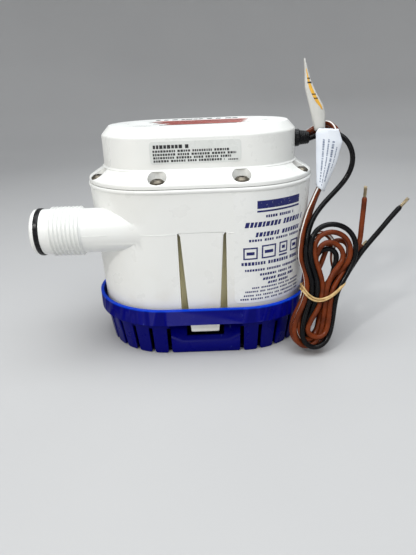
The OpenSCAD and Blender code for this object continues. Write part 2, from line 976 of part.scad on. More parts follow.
// Point on a smooth curve through the route, between point i and the next.
function route_point(p, i, t) =
    let (n = len(p) - 1, a = p[max(i - 1, 0)], b = p[i], c = p[min(i + 1, n)], d = p[min(i + 2, n)])
    0.5 * (2 * b + (c - a) * t + (2 * a - 5 * b + 4 * c - d) * t * t
        + (3 * b - a - 3 * c + d) * t * t * t);

function ring_frame(p, k) =
    let (n = len(p) - 1, along = unit(p[min(k + 1, n)] - p[max(k - 1, 0)]),
        side = unit(cross(along, [0, 1, 0.35])))
    [side, cross(along, side)];

function ring(p, k, r) =
    let (f = ring_frame(p, k))
    [for (s = [0 : wire_sides - 1])
        p[k] + r * (cos(s * 360 / wire_sides) * f[0] + sin(s * 360 / wire_sides) * f[1])];

// Closed tube along the given centre points.
module swept(p, r) {
    n = len(p);
    points = [for (k = [0 : n - 1]) each ring(p, k, r)];
    sides = [for (k = [0 : n - 2], s = [0 : wire_sides - 1])
        let (t = (s + 1) % wire_sides)
        [k * wire_sides + s, (k + 1) * wire_sides + s, (k + 1) * wire_sides + t, k * wire_sides + t]];
    polyhedron(points, concat(sides,
        [[for (s = [0 : wire_sides - 1]) s]],
        [[for (s = [wire_sides - 1 : -1 : 0]) (n - 1) * wire_sides + s]]));
}

black_shade = [0.03, 0.03, 0.035];
brown_shade = [0.36, 0.12, 0.05];

module black_lead() {
    color(black_shade)
        swept(black_route, lead_diameter / 2);
}

module brown_lead() {
    color(brown_shade)
        swept(brown_route, lead_diameter / 2);
}

module striped_lead() {
    color(brown_shade)
        swept(striped_route, lead_diameter / 2);
}

module black_tail() {
    color(black_shade)
        swept(black_tail_route, lead_diameter / 2);
}

module brown_tail() {
    color(brown_shade)
        swept(brown_tail_route, lead_diameter / 2);
}

module striped_tail() {
    color(brown_shade)
        swept(striped_tail_route, lead_diameter / 2);
}

// Carries children into the hank's plane: x across it, y along it, z towards its face.
module in_hank_plane() {
    multmatrix([
        [hank_side[0], hank_up[0], hank_normal[0], hank_low[0]],
        [hank_side[1], hank_up[1], hank_normal[1], hank_low[1]],
        [hank_side[2], hank_up[2], hank_normal[2], hank_low[2]]
    ])
        children();
}

module hank_outline() {
    for (lobe = [[0, hank_low_radius], [hank_length, hank_high_radius]])
        hull() {
            translate([0, lobe[0]])
                circle(r = lobe[1], $fn = 32);
            translate([0, hank_waist_height])
                square([2 * hank_waist_half, 4], center = true);
        }
}

module lead_hank() {
    color(brown_shade)
        in_hank_plane()
            translate([0, 0, -hank_thickness / 2])
                linear_extrude(hank_thickness)
                    hank_outline();
}

module rubber_band() {
    inner_x = hank_waist_half / cos(band_tilt) + 0.9;
    inner_y = hank_thickness / 2 + 0.15;
    color([0.8, 0.7, 0.48])
        in_hank_plane()
            translate([0, hank_waist_height, 0])
                rotate([90, 0, band_tilt])
                    linear_extrude(band_height, center = true)
                        difference() {
                            square([2 * (inner_x + band_radius), 2 * (inner_y + band_radius)],
                                center = true);
                            square([2 * inner_x, 2 * inner_y], center = true);
                        }
}

// Bare strands that carry straight on from the end of a tail.
module bare_end(route, length) {
    last = len(route) - 1;
    along = unit(route[last] - route[last - 1]);
    swept([for (k = [0 : 2]) route[last] + along * length * k / 2], bare_radius);
}

module bare_wire_ends() {
    color([0.55, 0.48, 0.36]) {
        bare_end(black_tail_route, bare_length);
        bare_end(brown_tail_route, short_bare_length);
        bare_end(striped_tail_route, bare_length);
    }
}

// ---- labels ----

// Flat tag seen from the front, at a depth and leaning with the leads.
module wire_label() {
    color([0.9, 0.93, 0.97])
        translate([0, -15, 0])
            rotate([90, 0, 0])
                linear_extrude(0.8)
                    polygon([[79.2, 148.6], [85.6, 152.4], [88, 149.8], [94.6, 149.2], [98.4, 140],
                        [95, 126.6], [90.6, 117.2], [86.6, 107.2], [81, 111.4], [80.4, 129.4]]);
}

module warning_flap() {
    color([0.85, 0.85, 0.83])
        translate([0, -12, 0])
            rotate([90, 0, 0])
                linear_extrude(0.8)
                    polygon([[70.2, 193.6], [71.4, 175.6], [74.6, 165], [79.8, 148.2], [86.4, 149],
                        [86, 159.4], [84, 164.6], [78.8, 173], [75.2, 180.4]]);
}

module body_label() {
    color([0.93, 0.94, 0.95])
        intersection() {
            difference() {
                body_block(38.8, 116.8, 0.25);
                body_block(38.8 - cut, 116.8 + cut, 0);
            }
            translate([21, -60, 30])
                cube([48, 60, 90]);
        }
}

module cap_label() {
    color([0.78, 0.8, 0.8])
        intersection() {
            translate([0, 0, 134.2])
                difference() {
                    oval(cap_spread, cap_half_width + 0.25, 14);
                    translate([0, 0, -cut])
                        oval(cap_spread, cap_half_width, 15);
                }
            translate([-31, -50, 130])
                cube([60, 30, 20]);
        }
}

module top_decal() {
    color([0.6, 0.15, 0.1])
        translate([0, 0, cap_top])
            linear_extrude(0.2)
                polygon([[-38, -22], [30, -22], [38, 22], [-30, 22]]);
}

strainer_base();
pump_housing();
front_release_tab();
rear_release_tab();
cover_flange();
cover_cap();
cover_gasket();
cover_screws();
cable_gland();
spout_o_ring();
suction_plate();
impeller();
motor_shaft();
shaft_seal();
motor_can();
motor_can_seal();
field_magnets();
armature_core();
armature_windings();
commutator();
brush_holder();
carbon_brushes();
lower_bearing();
upper_bearing();
motor_end_cap();
motor_terminals();
float_body();
float_magnet();
float_guide();
reed_switch();
control_board();
board_components();
inner_leads();
black_lead();
brown_lead();
striped_lead();
black_tail();
brown_tail();
striped_tail();
lead_hank();
rubber_band();
bare_wire_ends();
wire_label();
warning_flap();
body_label();
cap_label();
top_decal();
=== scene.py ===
import json
import random
from math import copysign, cos, pi, radians, sin, sqrt

import bmesh
import bpy
import numpy as np
from mathutils import Matrix, Vector


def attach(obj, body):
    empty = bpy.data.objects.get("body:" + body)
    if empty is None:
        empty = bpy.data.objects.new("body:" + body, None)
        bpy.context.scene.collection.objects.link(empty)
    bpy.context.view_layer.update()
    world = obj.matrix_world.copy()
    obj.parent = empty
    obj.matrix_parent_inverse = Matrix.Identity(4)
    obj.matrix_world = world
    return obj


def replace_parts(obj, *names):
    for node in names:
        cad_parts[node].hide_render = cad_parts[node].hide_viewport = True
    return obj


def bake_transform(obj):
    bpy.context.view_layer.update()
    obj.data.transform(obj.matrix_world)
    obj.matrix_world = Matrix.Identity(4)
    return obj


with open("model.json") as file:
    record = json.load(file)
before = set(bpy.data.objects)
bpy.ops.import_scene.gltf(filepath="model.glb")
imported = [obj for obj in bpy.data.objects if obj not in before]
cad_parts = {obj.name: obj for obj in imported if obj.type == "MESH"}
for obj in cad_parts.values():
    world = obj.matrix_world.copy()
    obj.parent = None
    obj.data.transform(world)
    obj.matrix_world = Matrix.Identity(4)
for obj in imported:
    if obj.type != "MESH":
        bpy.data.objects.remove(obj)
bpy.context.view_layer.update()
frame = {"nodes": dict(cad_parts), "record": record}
NODES = frame["nodes"]
MM = 0.001
# Sizes of the pump's shell in millimetres, as in the CAD source. An oval is two half circles of a
# half width, set apart by twice its spread.
SPREAD, CAP_SPREAD = 26.0, 27.0
CAP_HALF, CAP_TOP = 40.5, 156.5
FLANGE_FOOT, FLANGE_HALF, FLANGE_RIM = 120.3, 53, 123.0
SLOPE_HALF, SLOPE_TOP = 41.8, 129.9
SEAM_Z = 90.5
LEAD_R = 1.8


def mm(x, y, z):
    return Vector((x * MM, y * MM, z * MM))


# ---- mesh helpers

def add_object(name, data):
    obj = bpy.data.objects.new(name, data)
    bpy.context.scene.collection.objects.link(obj)
    return obj


def new_mesh(name, verts, faces):
    mesh = bpy.data.meshes.new(name)
    mesh.from_pydata([tuple(v) for v in verts], [], faces)
    return mesh


def dress(obj, material, body="pump"):
    obj.data.materials.append(material)
    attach(obj, body)
    return obj


def add_mesh(name, verts, faces, material, slot, smooth=True, body="pump"):
    mesh = new_mesh(name, verts, faces)
    mesh.validate()
    if smooth:
        mesh.shade_smooth()
    return dress(add_object(name, mesh), material, body)


def apply_modifiers(obj):
    bpy.context.view_layer.update()
    graph = bpy.context.evaluated_depsgraph_get()
    mesh = bpy.data.meshes.new_from_object(obj.evaluated_get(graph))
    obj.modifiers.clear()
    obj.data = mesh


def thicken(obj, thickness):
    solid = obj.modifiers.new("thickness", "SOLIDIFY")
    solid.thickness = thickness
    solid.offset = 0
    apply_modifiers(obj)


def face_outwards(obj):
    bm = bmesh.new()
    bm.from_mesh(obj.data)
    bmesh.ops.recalc_face_normals(bm, faces=bm.faces)
    bm.to_mesh(obj.data)
    bm.free()
    return obj


def spread_out(start, end, steps):
    return [start + (end - start) * k / steps for k in range(steps + 1)]


def circle(sides):
    return spread_out(0, 2 * pi, sides)[:-1]


def sheet_faces(rows, cols, base=0):
    """Quads over a grid of points, rows by cols."""
    return [(a, a + 1, a + cols + 1, a + cols)
            for a in (base + r * cols + c for r in range(rows - 1) for c in range(cols - 1))]


def tube_faces(rings, sides, closed=False, caps=True):
    """Quads between rings of points. A closed tube runs from the last ring back to the first."""
    faces = []
    for i in range(rings if closed else rings - 1):
        a, b = i * sides, (i + 1) % rings * sides
        for k in range(sides):
            m = (k + 1) % sides
            faces.append((a + k, a + m, b + m, b + k))
    if caps and not closed:
        faces.append(tuple(range(sides - 1, -1, -1)))
        faces.append(tuple((rings - 1) * sides + k for k in range(sides)))
    return faces


def add_slabs(name, slabs, material, slot, smooth=False, body="pump"):
    """Thin closed slabs: each is a grid of points and the way to its back, one vector or one a column."""
    verts, faces = [], []
    for grid, depth in slabs:
        rows, cols = len(grid), len(grid[0])
        base, back = len(verts), rows * cols
        deep = [depth] * cols if isinstance(depth, Vector) else depth
        verts += [p for row in grid for p in row]
        verts += [p + d for row in grid for p, d in zip(row, deep)]
        front = sheet_faces(rows, cols, base)
        faces += front
        faces += [(a + back, d + back, c + back, b + back) for a, b, c, d in front]
        last = base + back - cols
        rim = [*range(base, base + cols), *(base + r * cols + cols - 1 for r in range(1, rows)),
               *range(last + cols - 2, last - 1, -1), *(base + r * cols for r in range(rows - 2, 0, -1))]
        faces += [(p, p + back, q + back, q) for p, q in zip(rim, rim[1:] + rim[:1])]
    return add_mesh(name, verts, faces, material, slot, smooth, body)


def lerp_table(table, t):
    """Value at t of a table of (t, value...) rows."""
    for a, b in zip(table, table[1:]):
        if t <= b[0]:
            k = (t - a[0]) / (b[0] - a[0])
            return [p + (q - p) * k for p, q in zip(a[1:], b[1:])]
    return list(table[-1][1:])


def catmull(points, step):
    """Smooth centre line through the points, with a point about every step."""
    n = len(points)
    out = []
    for i in range(n - 1):
        a, b = points[max(i - 1, 0)], points[i]
        c, d = points[i + 1], points[min(i + 2, n - 1)]
        parts = max(1, int(round((c - b).length / step)))
        for k in range(parts):
            t = k / parts
            out.append(0.5 * (2 * b + (c - a) * t + (2 * a - 5 * b + 4 * c - d) * t * t
                              + (3 * b - a - 3 * c + d) * t ** 3))
    out.append(points[-1].copy())
    return out


def even(points, step):
    """The same line with points an even distance apart."""
    lengths = [0.0]
    for a, b in zip(points, points[1:]):
        lengths.append(lengths[-1] + (b - a).length)
    total = lengths[-1]
    count = max(2, int(round(total / step)))
    out, k = [], 0
    for i in range(count + 1):
        s = total * i / count
        while k < len(lengths) - 2 and lengths[k + 1] < s:
            k += 1
        span = lengths[k + 1] - lengths[k]
        t = 0 if span < 1e-9 else (s - lengths[k]) / span
        out.append(points[k].lerp(points[k + 1], min(max(t, 0), 1)))
    return out


def relax(points, times):
    pts = [p.copy() for p in points]
    for _ in range(times):
        inner = [b * 0.5 + (a + c) * 0.25 for a, b, c in zip(pts, pts[1:], pts[2:])]
        pts = [pts[0], *inner, pts[-1]]
    return pts


def sweep(name, path, radius, sides=14, twist=0.0, turn=0.0, caps=True, end_radius=None):
    """Round tube along a path, whose UVs run from 0 to 1 round it and along it in tenths of a metre."""
    n = len(path)
    prev = (path[1] - path[0]).normalized()
    ref = Vector((0, 0, 1)) if abs(prev.z) < 0.9 else Vector((1, 0, 0))
    side = (ref - prev * ref.dot(prev)).normalized()
    verts, along = [], []
    run = 0.0
    for i in range(n):
        t = (path[min(i + 1, n - 1)] - path[max(i - 1, 0)]).normalized()
        side = prev.rotation_difference(t) @ side
        side = (side - t * side.dot(t)).normalized()
        prev, other = t, t.cross(side)
        if i:
            run += (path[i] - path[i - 1]).length
        rad = end_radius if end_radius and i == n - 1 else radius
        for s in range(sides):
            angle = 2 * pi * s / sides + turn + twist * run
            verts.append(path[i] + (side * cos(angle) + other * sin(angle)) * rad)
        along += [run] * sides
    mesh = new_mesh(name, verts, tube_faces(n, sides, caps=caps))
    uv = mesh.uv_layers.new(name="UVMap")
    for poly in mesh.polygons:
        around = [v % sides / sides for v in poly.vertices]
        seam = len(around) == 4 and max(around) > 0.8
        for li, v, a in zip(poly.loop_indices, poly.vertices, around):
            uv.data[li].uv = (1.0 if seam and a == 0 else a, along[v] / 0.1)
    mesh.shade_smooth()
    return add_object(name, mesh)


# ---- camera
# Fitted to the photograph: angles in degrees, then the lens and the optical centre in its pixels.

CAMERA_AZIMUTH, CAMERA_ELEVATION, CAMERA_ROLL = 0.363, 22.321, -2.248
CAMERA_AIM, CAMERA_DISTANCE = mm(0.68, 0, 37.59), 0.382
PHOTO_WIDTH, PHOTO_HEIGHT, FOCAL = 416, 555, 483.0
CENTRE_X, CENTRE_Y = 204.9, 278.85
SENSOR = 36


def make_camera():
    azimuth, elevation = radians(CAMERA_AZIMUTH), radians(CAMERA_ELEVATION)
    roll = radians(CAMERA_ROLL)
    back = Vector((sin(azimuth) * cos(elevation),
                   -cos(azimuth) * cos(elevation), sin(elevation)))
    right = (-back).cross(Vector((0, 0, 1))).normalized()
    up = right.cross(-back)
    r = cos(roll) * right + sin(roll) * up
    u = -sin(roll) * right + cos(roll) * up
    turn = Matrix((r, u, back)).transposed().to_4x4()
    cam = add_object("camera", bpy.data.cameras.new("camera"))
    bpy.context.scene.camera = cam
    cam.matrix_world = Matrix.Translation(CAMERA_AIM + back * CAMERA_DISTANCE) @ turn
    cam.data.sensor_fit = "HORIZONTAL"
    cam.data.sensor_width = SENSOR
    cam.data.lens = FOCAL / PHOTO_WIDTH * SENSOR
    cam.data.shift_x = (PHOTO_WIDTH / 2 - CENTRE_X) / PHOTO_WIDTH
    cam.data.shift_y = (CENTRE_Y - PHOTO_HEIGHT / 2) / PHOTO_WIDTH
    cam.data.clip_start = 0.01


make_camera()


# ---- cords
# Routes as in the CAD source, in millimetres.

BLACK_ROUTE = [
    (78, -2.2, 141.8), (79.6, -2.2, 142), (83, -2.8, 144), (88.6, -4.2, 145.8), (94.8, -7.2, 145.8),
    (99.6, -10.4, 143), (103.6, -12.6, 137.6), (106, -14, 131), (105.2, -15, 123.6),
    (101.6, -16, 115.6), (95, -18, 108.6), (87.6, -21, 101.6), (80.8, -25, 95),
    (75, -30.6, 86.6), (72.2, -36, 76), (71.2, -39.6, 65)]
STRIPED_ROUTE = [
    (78, -0.2, 145.6), (79.6, -0.2, 145.8), (82, -0.8, 149), (85, -2.4, 152), (89, -5.6, 153.2),
    (92.4, -9.2, 151), (93.8, -12, 146), (93.2, -13.2, 138), (91, -14, 128.8),
    (87.2, -15.4, 119.4), (82.8, -17.6, 110), (77.8, -21.4, 101), (73, -27.6, 91.8),
    (69.4, -33.4, 82), (68.2, -36.4, 74), (67.8, -38.6, 65)]
BROWN_ROUTE = [
    (78, 2.2, 141.8), (79.6, 2.2, 142), (82.4, 2.4, 145), (86.6, 1.8, 148.8), (91.4, 0.2, 150.8),
    (95.8, -2.2, 149.4), (97.8, -4.4, 144.6), (96.8, -6.2, 137), (93.4, -8.4, 127.6),
    (89, -10.6, 118.4), (84.6, -13, 109), (80, -17, 100.4), (75.8, -23, 91.2),
    (73, -28.8, 82), (71.4, -32.2, 74), (71, -35.4, 65)]
BLACK_TAIL = [
    (106.6, -34.4, 60), (109.4, -33, 63.6), (114, -31, 69), (121.8, -28, 77), (128.8, -26, 84.8),
    (134.4, -24, 91), (139.4, -23, 96.2)]
STRIPED_TAIL = [
    (108, -34, 69), (109.4, -32, 74), (111.2, -29, 82), (112.6, -26, 92), (113.4, -24, 104)]
BROWN_TAIL = [(108, -29.4, 65.6), (111.2, -27.8, 67.6), (114, -26.4, 69.6)]

HANK_LOW = Vector((74.4, -51, 17))
HANK_HIGH = Vector((90.2, -33.8, 70))
HANK_UP = (HANK_HIGH - HANK_LOW).normalized()
HANK_SIDE = HANK_UP.cross(Vector((0, -1, 0))).normalized()
HANK_FACE = HANK_SIDE.cross(HANK_UP)

# Outline of the hank's solid in its own plane, in millimetres.
LOW_V, LOW_R = 0.0, 14.6
HIGH_V, HIGH_R = (HANK_HIGH - HANK_LOW).length, 20.6
WAIST_V, WAIST_HALF = 25.4, 13.2
HANK_HALF = 5.75
F, M, B = 3.5, 0.0, -3.5    # the front, middle and back layers of strands


def hank(u, v, w):
    return HANK_LOW + HANK_SIDE * u + HANK_UP * v + HANK_FACE * w


def arc_maker(angles, height):
    """Turns of the hank: a centre (cu, cv), a radius and a layer give the points of one."""
    def points(cu, cv, radius, w):
        turn = [radians(deg) for deg in angles]
        return [hank(cu + radius * cos(a), cv + radius * sin(a) * height, w) for a in turn]
    return points


def leg_maker(step):
    """Legs of the hank: a place across it and a layer give two points, at the waist."""
    def points(u, w):
        waist = 27.5 + 0.3 * u
        return [hank(u, waist + step, w), hank(u, waist - step, w)]
    return points


top_turn = arc_maker((-22, 8, 35, 62, 90, 118, 145, 172, 202), 0.97)
low_turn = arc_maker((170, 200, 228, 254, 282, 308, 336, 6), 1)
down, rise = leg_maker(4), leg_maker(-4)

TURNS = {
    "black": [
        [hank(-17.0, 46, 2.6)], down(-7.4, F), low_turn(2.6, -1.6, 9.6, F), rise(10.6, F),
        top_turn(-0.9, 58.6, 17.2, F), down(-3.6, F), low_turn(3.4, 1.4, 8.6, M), rise(7.0, M),
        top_turn(-1.2, 50.4, 8.4, M), down(-7.2, M), low_turn(1.2, -0.4, 9.8, B), rise(10.8, M)],
    "brown": [
        [hank(-16.6, 46, -2.4)], down(-10.9, M), low_turn(-1.4, -1.5, 11.8, B), rise(7.2, B),
        top_turn(6.8, 57.0, 9.4, B), down(-7.2, B), low_turn(-0.6, 1.6, 8.4, B), rise(3.4, B),
        top_turn(-0.8, 56.6, 13.8, F), down(0.2, F), low_turn(3.2, 2.2, 8.4, F), rise(6.9, F)],
    "striped": [
        [hank(-17.6, 48, 0.6)], down(-11.0, F), low_turn(-1.6, -2.2, 9.6, 0.4), rise(3.6, F),
        top_turn(-1.6, 52.6, 10.6, F), down(-3.4, M), low_turn(1.0, 1.4, 11.7, -1.2), rise(11.0, B),
        top_turn(-7.4, 58.6, 9.6, B), down(-11.0, B), low_turn(-2.0, 0.4, 8.6, M), rise(3.2, M)],
}


LEADS_PLAN = {"black": (BLACK_ROUTE, BLACK_TAIL), "brown": (BROWN_ROUTE, BROWN_TAIL),
              "striped": (STRIPED_ROUTE, STRIPED_TAIL)}
INSIDE_GLAND_X = 76
SAME_STRAND = 5             # points this near along one lead don't push each other


def outline_scale(u, v):
    """How far a point outside the hank's outline has to draw in, towards the middle of its end."""
    low, high, waist = LOW_R - LEAD_R, HIGH_R - LEAD_R, WAIST_HALF - LEAD_R + 0.5
    t = np.clip((v - LOW_V) / (WAIST_V - LOW_V), 0, 1)
    half = low + (waist - low) * t
    t = np.clip((v - WAIST_V) / (HIGH_V - WAIST_V), 0, 1)
    half = np.where(v > WAIST_V, waist + (high - waist) * t, half)
    below, above = v < LOW_V, v > HIGH_V
    reach = np.where(below | above, np.hypot(u, np.where(below, v - LOW_V, v - HIGH_V)), np.abs(u))
    limit = np.where(below, low, np.where(above, high, half))
    k = np.where(reach > limit, limit / np.maximum(reach, 1e-9), 1)
    v2 = np.where(below, LOW_V + (v - LOW_V) * k, np.where(above, HIGH_V + (v - HIGH_V) * k, v))
    return u * k, v2


def settle(cords, rounds):
    """Push strands that lie in each other apart, and keep them inside the hank's outline."""
    pts = np.concatenate([line for line, _ in cords])
    free = np.concatenate([loose for _, loose in cords])[:, None]
    label = np.concatenate([np.full(len(line), i) for i, (line, _) in enumerate(cords)])
    index = np.concatenate([np.arange(len(line)) for line, _ in cords])
    start = pts.copy()
    low, side, up, face = (np.array(v) for v in (HANK_LOW, HANK_SIDE, HANK_UP, HANK_FACE))
    near = (label[:, None] == label) & (np.abs(index[:, None] - index) < SAME_STRAND)
    ends = (index == 0) | (np.append(index[1:], 0) == 0)
    thick = 2 * LEAD_R
    for _ in range(rounds):
        diff = pts[:, None, :] - pts[None, :, :]
        dist = np.sqrt((diff ** 2).sum(2)) + 1e-9
        close = (dist < thick) & ~near
        push = np.where(close, (thick - dist) / dist * 0.5, 0)
        move = (diff * push[:, :, None]).sum(1) / np.maximum(close.sum(1), 1)[:, None] * 1.3
        size = np.linalg.norm(move, axis=1, keepdims=True)
        move *= np.minimum(1, 0.6 / np.maximum(size, 1e-9))
        new = pts + move * free
        # bending stiffness
        for _ in range(3):
            lap = np.zeros_like(pts)
            lap[1:-1] = (new[:-2] + new[2:]) / 2 - new[1:-1]
            lap[ends] = 0
            turn = np.zeros_like(pts)
            turn[1:-1] = (lap[:-2] + lap[2:]) / 2 - lap[1:-1]
            new -= turn * 0.35 * free
        # stay near the planned route and inside the hank
        new += (start - new) * 0.02 * free
        q = new - low
        u, v = outline_scale(q @ side, q @ up)
        w = np.clip(q @ face, -HANK_HALF + LEAD_R, HANK_HALF - LEAD_R)
        kept = low + u[:, None] * side + v[:, None] * up + w[:, None] * face
        pts = np.where(free > 0.99, kept, new)
    return np.split(pts, np.nonzero(index == 0)[0][1:])


def ease(pts, rounds):
    """Even out the bends of a line without pulling its loops in."""
    for _ in range(rounds):
        for amount in (0.6, -0.606):
            middle = pts.copy()
            middle[1:-1] = (pts[:-2] + pts[2:]) / 2
            pts += (middle - pts) * amount
    return pts


def make_paths():
    cords = []
    for name, (route, tail) in LEADS_PLAN.items():
        head = [Vector((INSIDE_GLAND_X, *route[0][1:])), *(Vector(p) for p in route)]
        tail = [Vector(p) for p in tail]
        middle = [p for item in TURNS[name] for p in item]
        line = even(catmull(head + middle + tail, 1.0), 1.7)
        n = len(line)
        i0 = min(range(n // 3), key=lambda i: (line[i] - head[-1]).length)
        i1 = min(range(n * 2 // 3, n), key=lambda i: (line[i] - tail[0]).length)
        free = [min(max((i - i0) / 8, 0), 1) * min(max((i1 - i) / 6, 0), 1) for i in range(n)]
        cords.append((np.array([tuple(p) for p in line]), np.array(free)))
    paths = {}
    for name, line in zip(LEADS_PLAN, settle(cords, 90)):
        smooth = relax([Vector(p) for p in line], 3)
        eased = ease(np.array([tuple(p) for p in smooth]), 420)
        paths[name] = [Vector(p) * MM for p in eased]
    return paths


# ---- materials

class Recipe:
    """A small helper that builds one procedural material."""
    def __init__(self, name, color, rough=0.4, metallic=0.0, specular=0.5):
        self.mat = bpy.data.materials.new(name)
        self.mat.use_nodes = True
        self.tree = self.mat.node_tree
        self.bsdf = next(n for n in self.tree.nodes if n.type == "BSDF_PRINCIPLED")
        for key, value in (("Base Color", (*color, 1)), ("Roughness", rough), ("Metallic", metallic),
                           ("Specular IOR Level", specular)):
            self.bsdf.inputs[key].default_value = value
        self.place = self.add("ShaderNodeTexCoord", "Object")

    def add(self, kind, output, sockets=(), **values):
        """One output of a new node. Sockets are pairs of an input and its number or source."""
        node = self.tree.nodes.new(kind)
        for key, value in values.items():
            setattr(node, key, value)
        for key, value in sockets:
            if isinstance(value, bpy.types.NodeSocket):
                self.tree.links.new(value, node.inputs[key])
            else:
                node.inputs[key].default_value = value
        return node.outputs[output]

    def stretched(self, scale):
        return self.add("ShaderNodeMapping", "Vector", (("Scale", scale), ("Vector", self.place)))

    def noise(self, scale, detail=3.0, vector=None):
        return self.add("ShaderNodeTexNoise", "Fac",
                        (("Scale", scale), ("Detail", detail), ("Vector", vector or self.place)))

    def cells(self, scale):
        return self.add("ShaderNodeTexVoronoi", "Distance", (("Scale", scale), ("Vector", self.place)))

    def between(self, value, low, high, out_low=0.0, out_high=1.0, kind="SMOOTHSTEP"):
        return self.add("ShaderNodeMapRange", "Result",
                        (("Value", value), ("From Min", low), ("From Max", high), ("To Min", out_low),
                         ("To Max", out_high)), interpolation_type=kind)

    def math(self, operation, a, b=None):
        sockets = [(k, value) for k, value in enumerate((a, b)) if value is not None]
        return self.add("ShaderNodeMath", 0, sockets, operation=operation)

    def axis(self, name, source=None):
        return self.add("ShaderNodeSeparateXYZ", name, ((0, source or self.place),))

    def paint(self, factor, color):
        """Lay a colour over the base where the factor is 1."""
        base = self.bsdf.inputs["Base Color"]
        under = base.links[0].from_socket if base.is_linked else base.default_value
        mixed = self.add("ShaderNodeMix", 2, ((7, (*color, 1)), (0, factor), (6, under)), data_type="RGBA")
        self.tree.links.new(mixed, base)

    def mottle(self, scale, detail, low, high, color, amount=1, vector=None):
        """Lay a colour over the base in patches, where noise rises from low to high."""
        self.paint(self.between(self.noise(scale, detail, vector), low, high, 0, amount), color)

    def roughness(self, value, low, high):
        self.tree.links.new(self.between(value, 0.35, 0.65, low, high), self.bsdf.inputs["Roughness"])

    def bump(self, height, distance, strength=0.6):
        normal = self.bsdf.inputs["Normal"]
        sockets = [("Strength", strength), ("Distance", distance), ("Height", height)]
        if normal.is_linked:
            sockets.append(("Normal", normal.links[0].from_socket))
        self.tree.links.new(self.add("ShaderNodeBump", "Normal", sockets), normal)


def white_moulding(name, recess=False):
    r = Recipe(name, (0.80, 0.81, 0.79), rough=0.34)
    r.mottle(16, 4, 0.4, 0.7, (0.74, 0.74, 0.705), 0.5)
    # painted warm reflection of the floor, in patches low on the sides, and small dark scuffs
    low = r.between(r.axis("Z"), 0.028, 0.075, 0.4, 0)
    r.paint(r.math("MULTIPLY", low, r.between(r.noise(45, 5), 0.42, 0.7)), (0.62, 0.585, 0.5))
    r.mottle(420, 2, 0.735, 0.80, (0.42, 0.41, 0.38), 0.16, r.stretched((1, 1, 0.25)))
    if recess:
        # a yellow-beige tint on the walls beside the release tabs, where the slots look in
        x = r.math("ABSOLUTE", r.axis("X"))
        y = r.math("ABSOLUTE", r.axis("Y"))
        inside = r.between(x, 0.0176, 0.0172)
        for value, outer, inner in ((y, 0.0500, 0.0496), (y, 0.0405, 0.0412), (r.axis("Z"), 0.0925, 0.0915)):
            inside = r.math("MULTIPLY", inside, r.between(value, outer, inner))
        r.paint(inside, (0.78, 0.72, 0.44))
    r.roughness(r.noise(70, 4), 0.27, 0.43)
    r.bump(r.noise(28, 2), 0.0001, 0.3)
    r.bump(r.noise(1500, 2), 0.00004, 0.35)
    return r.mat


def blue_moulding():
    r = Recipe("blue_moulding", (0.0002, 0.0006, 0.13), rough=0.3, specular=0.08)
    r.mottle(30, 4, 0.4, 0.7, (0.0006, 0.0015, 0.13), 0.7)
    # painted highlight: a brighter blue along the top edge of the rim
    r.paint(r.between(r.axis("Z"), 0.0356, 0.0368, 0, 0.85), (0.0, 0.05, 0.62))
    r.mottle(380, 3, 0.69, 0.78, (0.06, 0.09, 0.32), 0.5, r.stretched((1, 1, 0.3)))
    # painted shade: the inside of the bowl, which sees little light, is painted almost black
    x = r.math("MAXIMUM", r.math("SUBTRACT", r.math("ABSOLUTE", r.axis("X")), SPREAD * MM), 0.0)
    y = r.axis("Y")
    radius = r.math("POWER", r.math("ADD", r.math("MULTIPLY", x, x), r.math("MULTIPLY", y, y)), 0.5)
    lean = r.math("MULTIPLY", r.axis("Z"), 0.1535)
    depth = r.math("SUBTRACT", r.math("ADD", 0.0475, lean), radius)
    low = r.between(r.axis("Z"), 0.0258, 0.0252)
    r.paint(r.math("MULTIPLY", r.between(depth, 0.0004, 0.0014, 0, 0.96), low), (0.0006, 0.0007, 0.004))
    r.roughness(r.noise(60, 4), 0.24, 0.4)
    r.bump(r.noise(35, 2), 0.0001, 0.3)
    r.bump(r.noise(1300, 2), 0.00005, 0.4)
    return r.mat


def insulation(name, color, deep, stripe=False):
    r = Recipe(name, color, rough=0.22, specular=0.14)
    r.mottle(130, 4, 0.38, 0.68, deep)
    if stripe:
        around = r.axis("X", r.add("ShaderNodeTexCoord", "UV"))
        wander = r.between(r.noise(60, 2), 0.2, 0.8, -0.03, 0.03, "LINEAR")
        place = r.math("ABSOLUTE", r.math("SUBTRACT", r.math("ADD", around, wander), 0.5))
        r.paint(r.between(place, 0.05, 0.04), (0.78, 0.76, 0.72))
    r.roughness(r.noise(220, 4), 0.15, 0.3)
    r.bump(r.noise(900, 3), 0.00006, 0.5)
    return r.mat


def surface(name, color, patches, grain, bumps, **facts):
    """Patches are (scale, detail, low, high, colour, amount), grain is (scale, detail, low, high) and
    bumps are (scale, detail, distance, strength, stretch)."""
    r = Recipe(name, color, **facts)
    for patch in patches:
        r.mottle(*patch)
    r.roughness(r.noise(*grain[:2]), *grain[2:])
    for scale, detail, distance, strength, *stretch in bumps:
        r.bump(r.noise(scale, detail, r.stretched(stretch[0]) if stretch else None), distance, strength)
    return r.mat


def shaded(color, share, plus=0.0):
    return tuple(c * share + plus for c in color)


def rubber(name, color, gloss=False):
    grain = (240, 4, 0.18, 0.34) if gloss else (240, 4, 0.4, 0.62)
    return surface(name, color, [(160, 4, 0.4, 0.7, shaded(color, 0.6, 0.002))], grain,
                   [(1200, 3, 0.00006, 0.6)], rough=0.3 if gloss else 0.5, specular=0.2)


def band_rubber():
    patches = [(300, 4, 0.4, 0.7, (0.44, 0.27, 0.10)), (90, 3, 0.55, 0.75, (0.72, 0.56, 0.31), 0.7)]
    return surface("band_rubber", (0.60, 0.42, 0.19), patches, (300, 3, 0.42, 0.62),
                   [(1500, 3, 0.00012, 0.7, (0.2, 0.2, 1))], rough=0.5, specular=0.45)


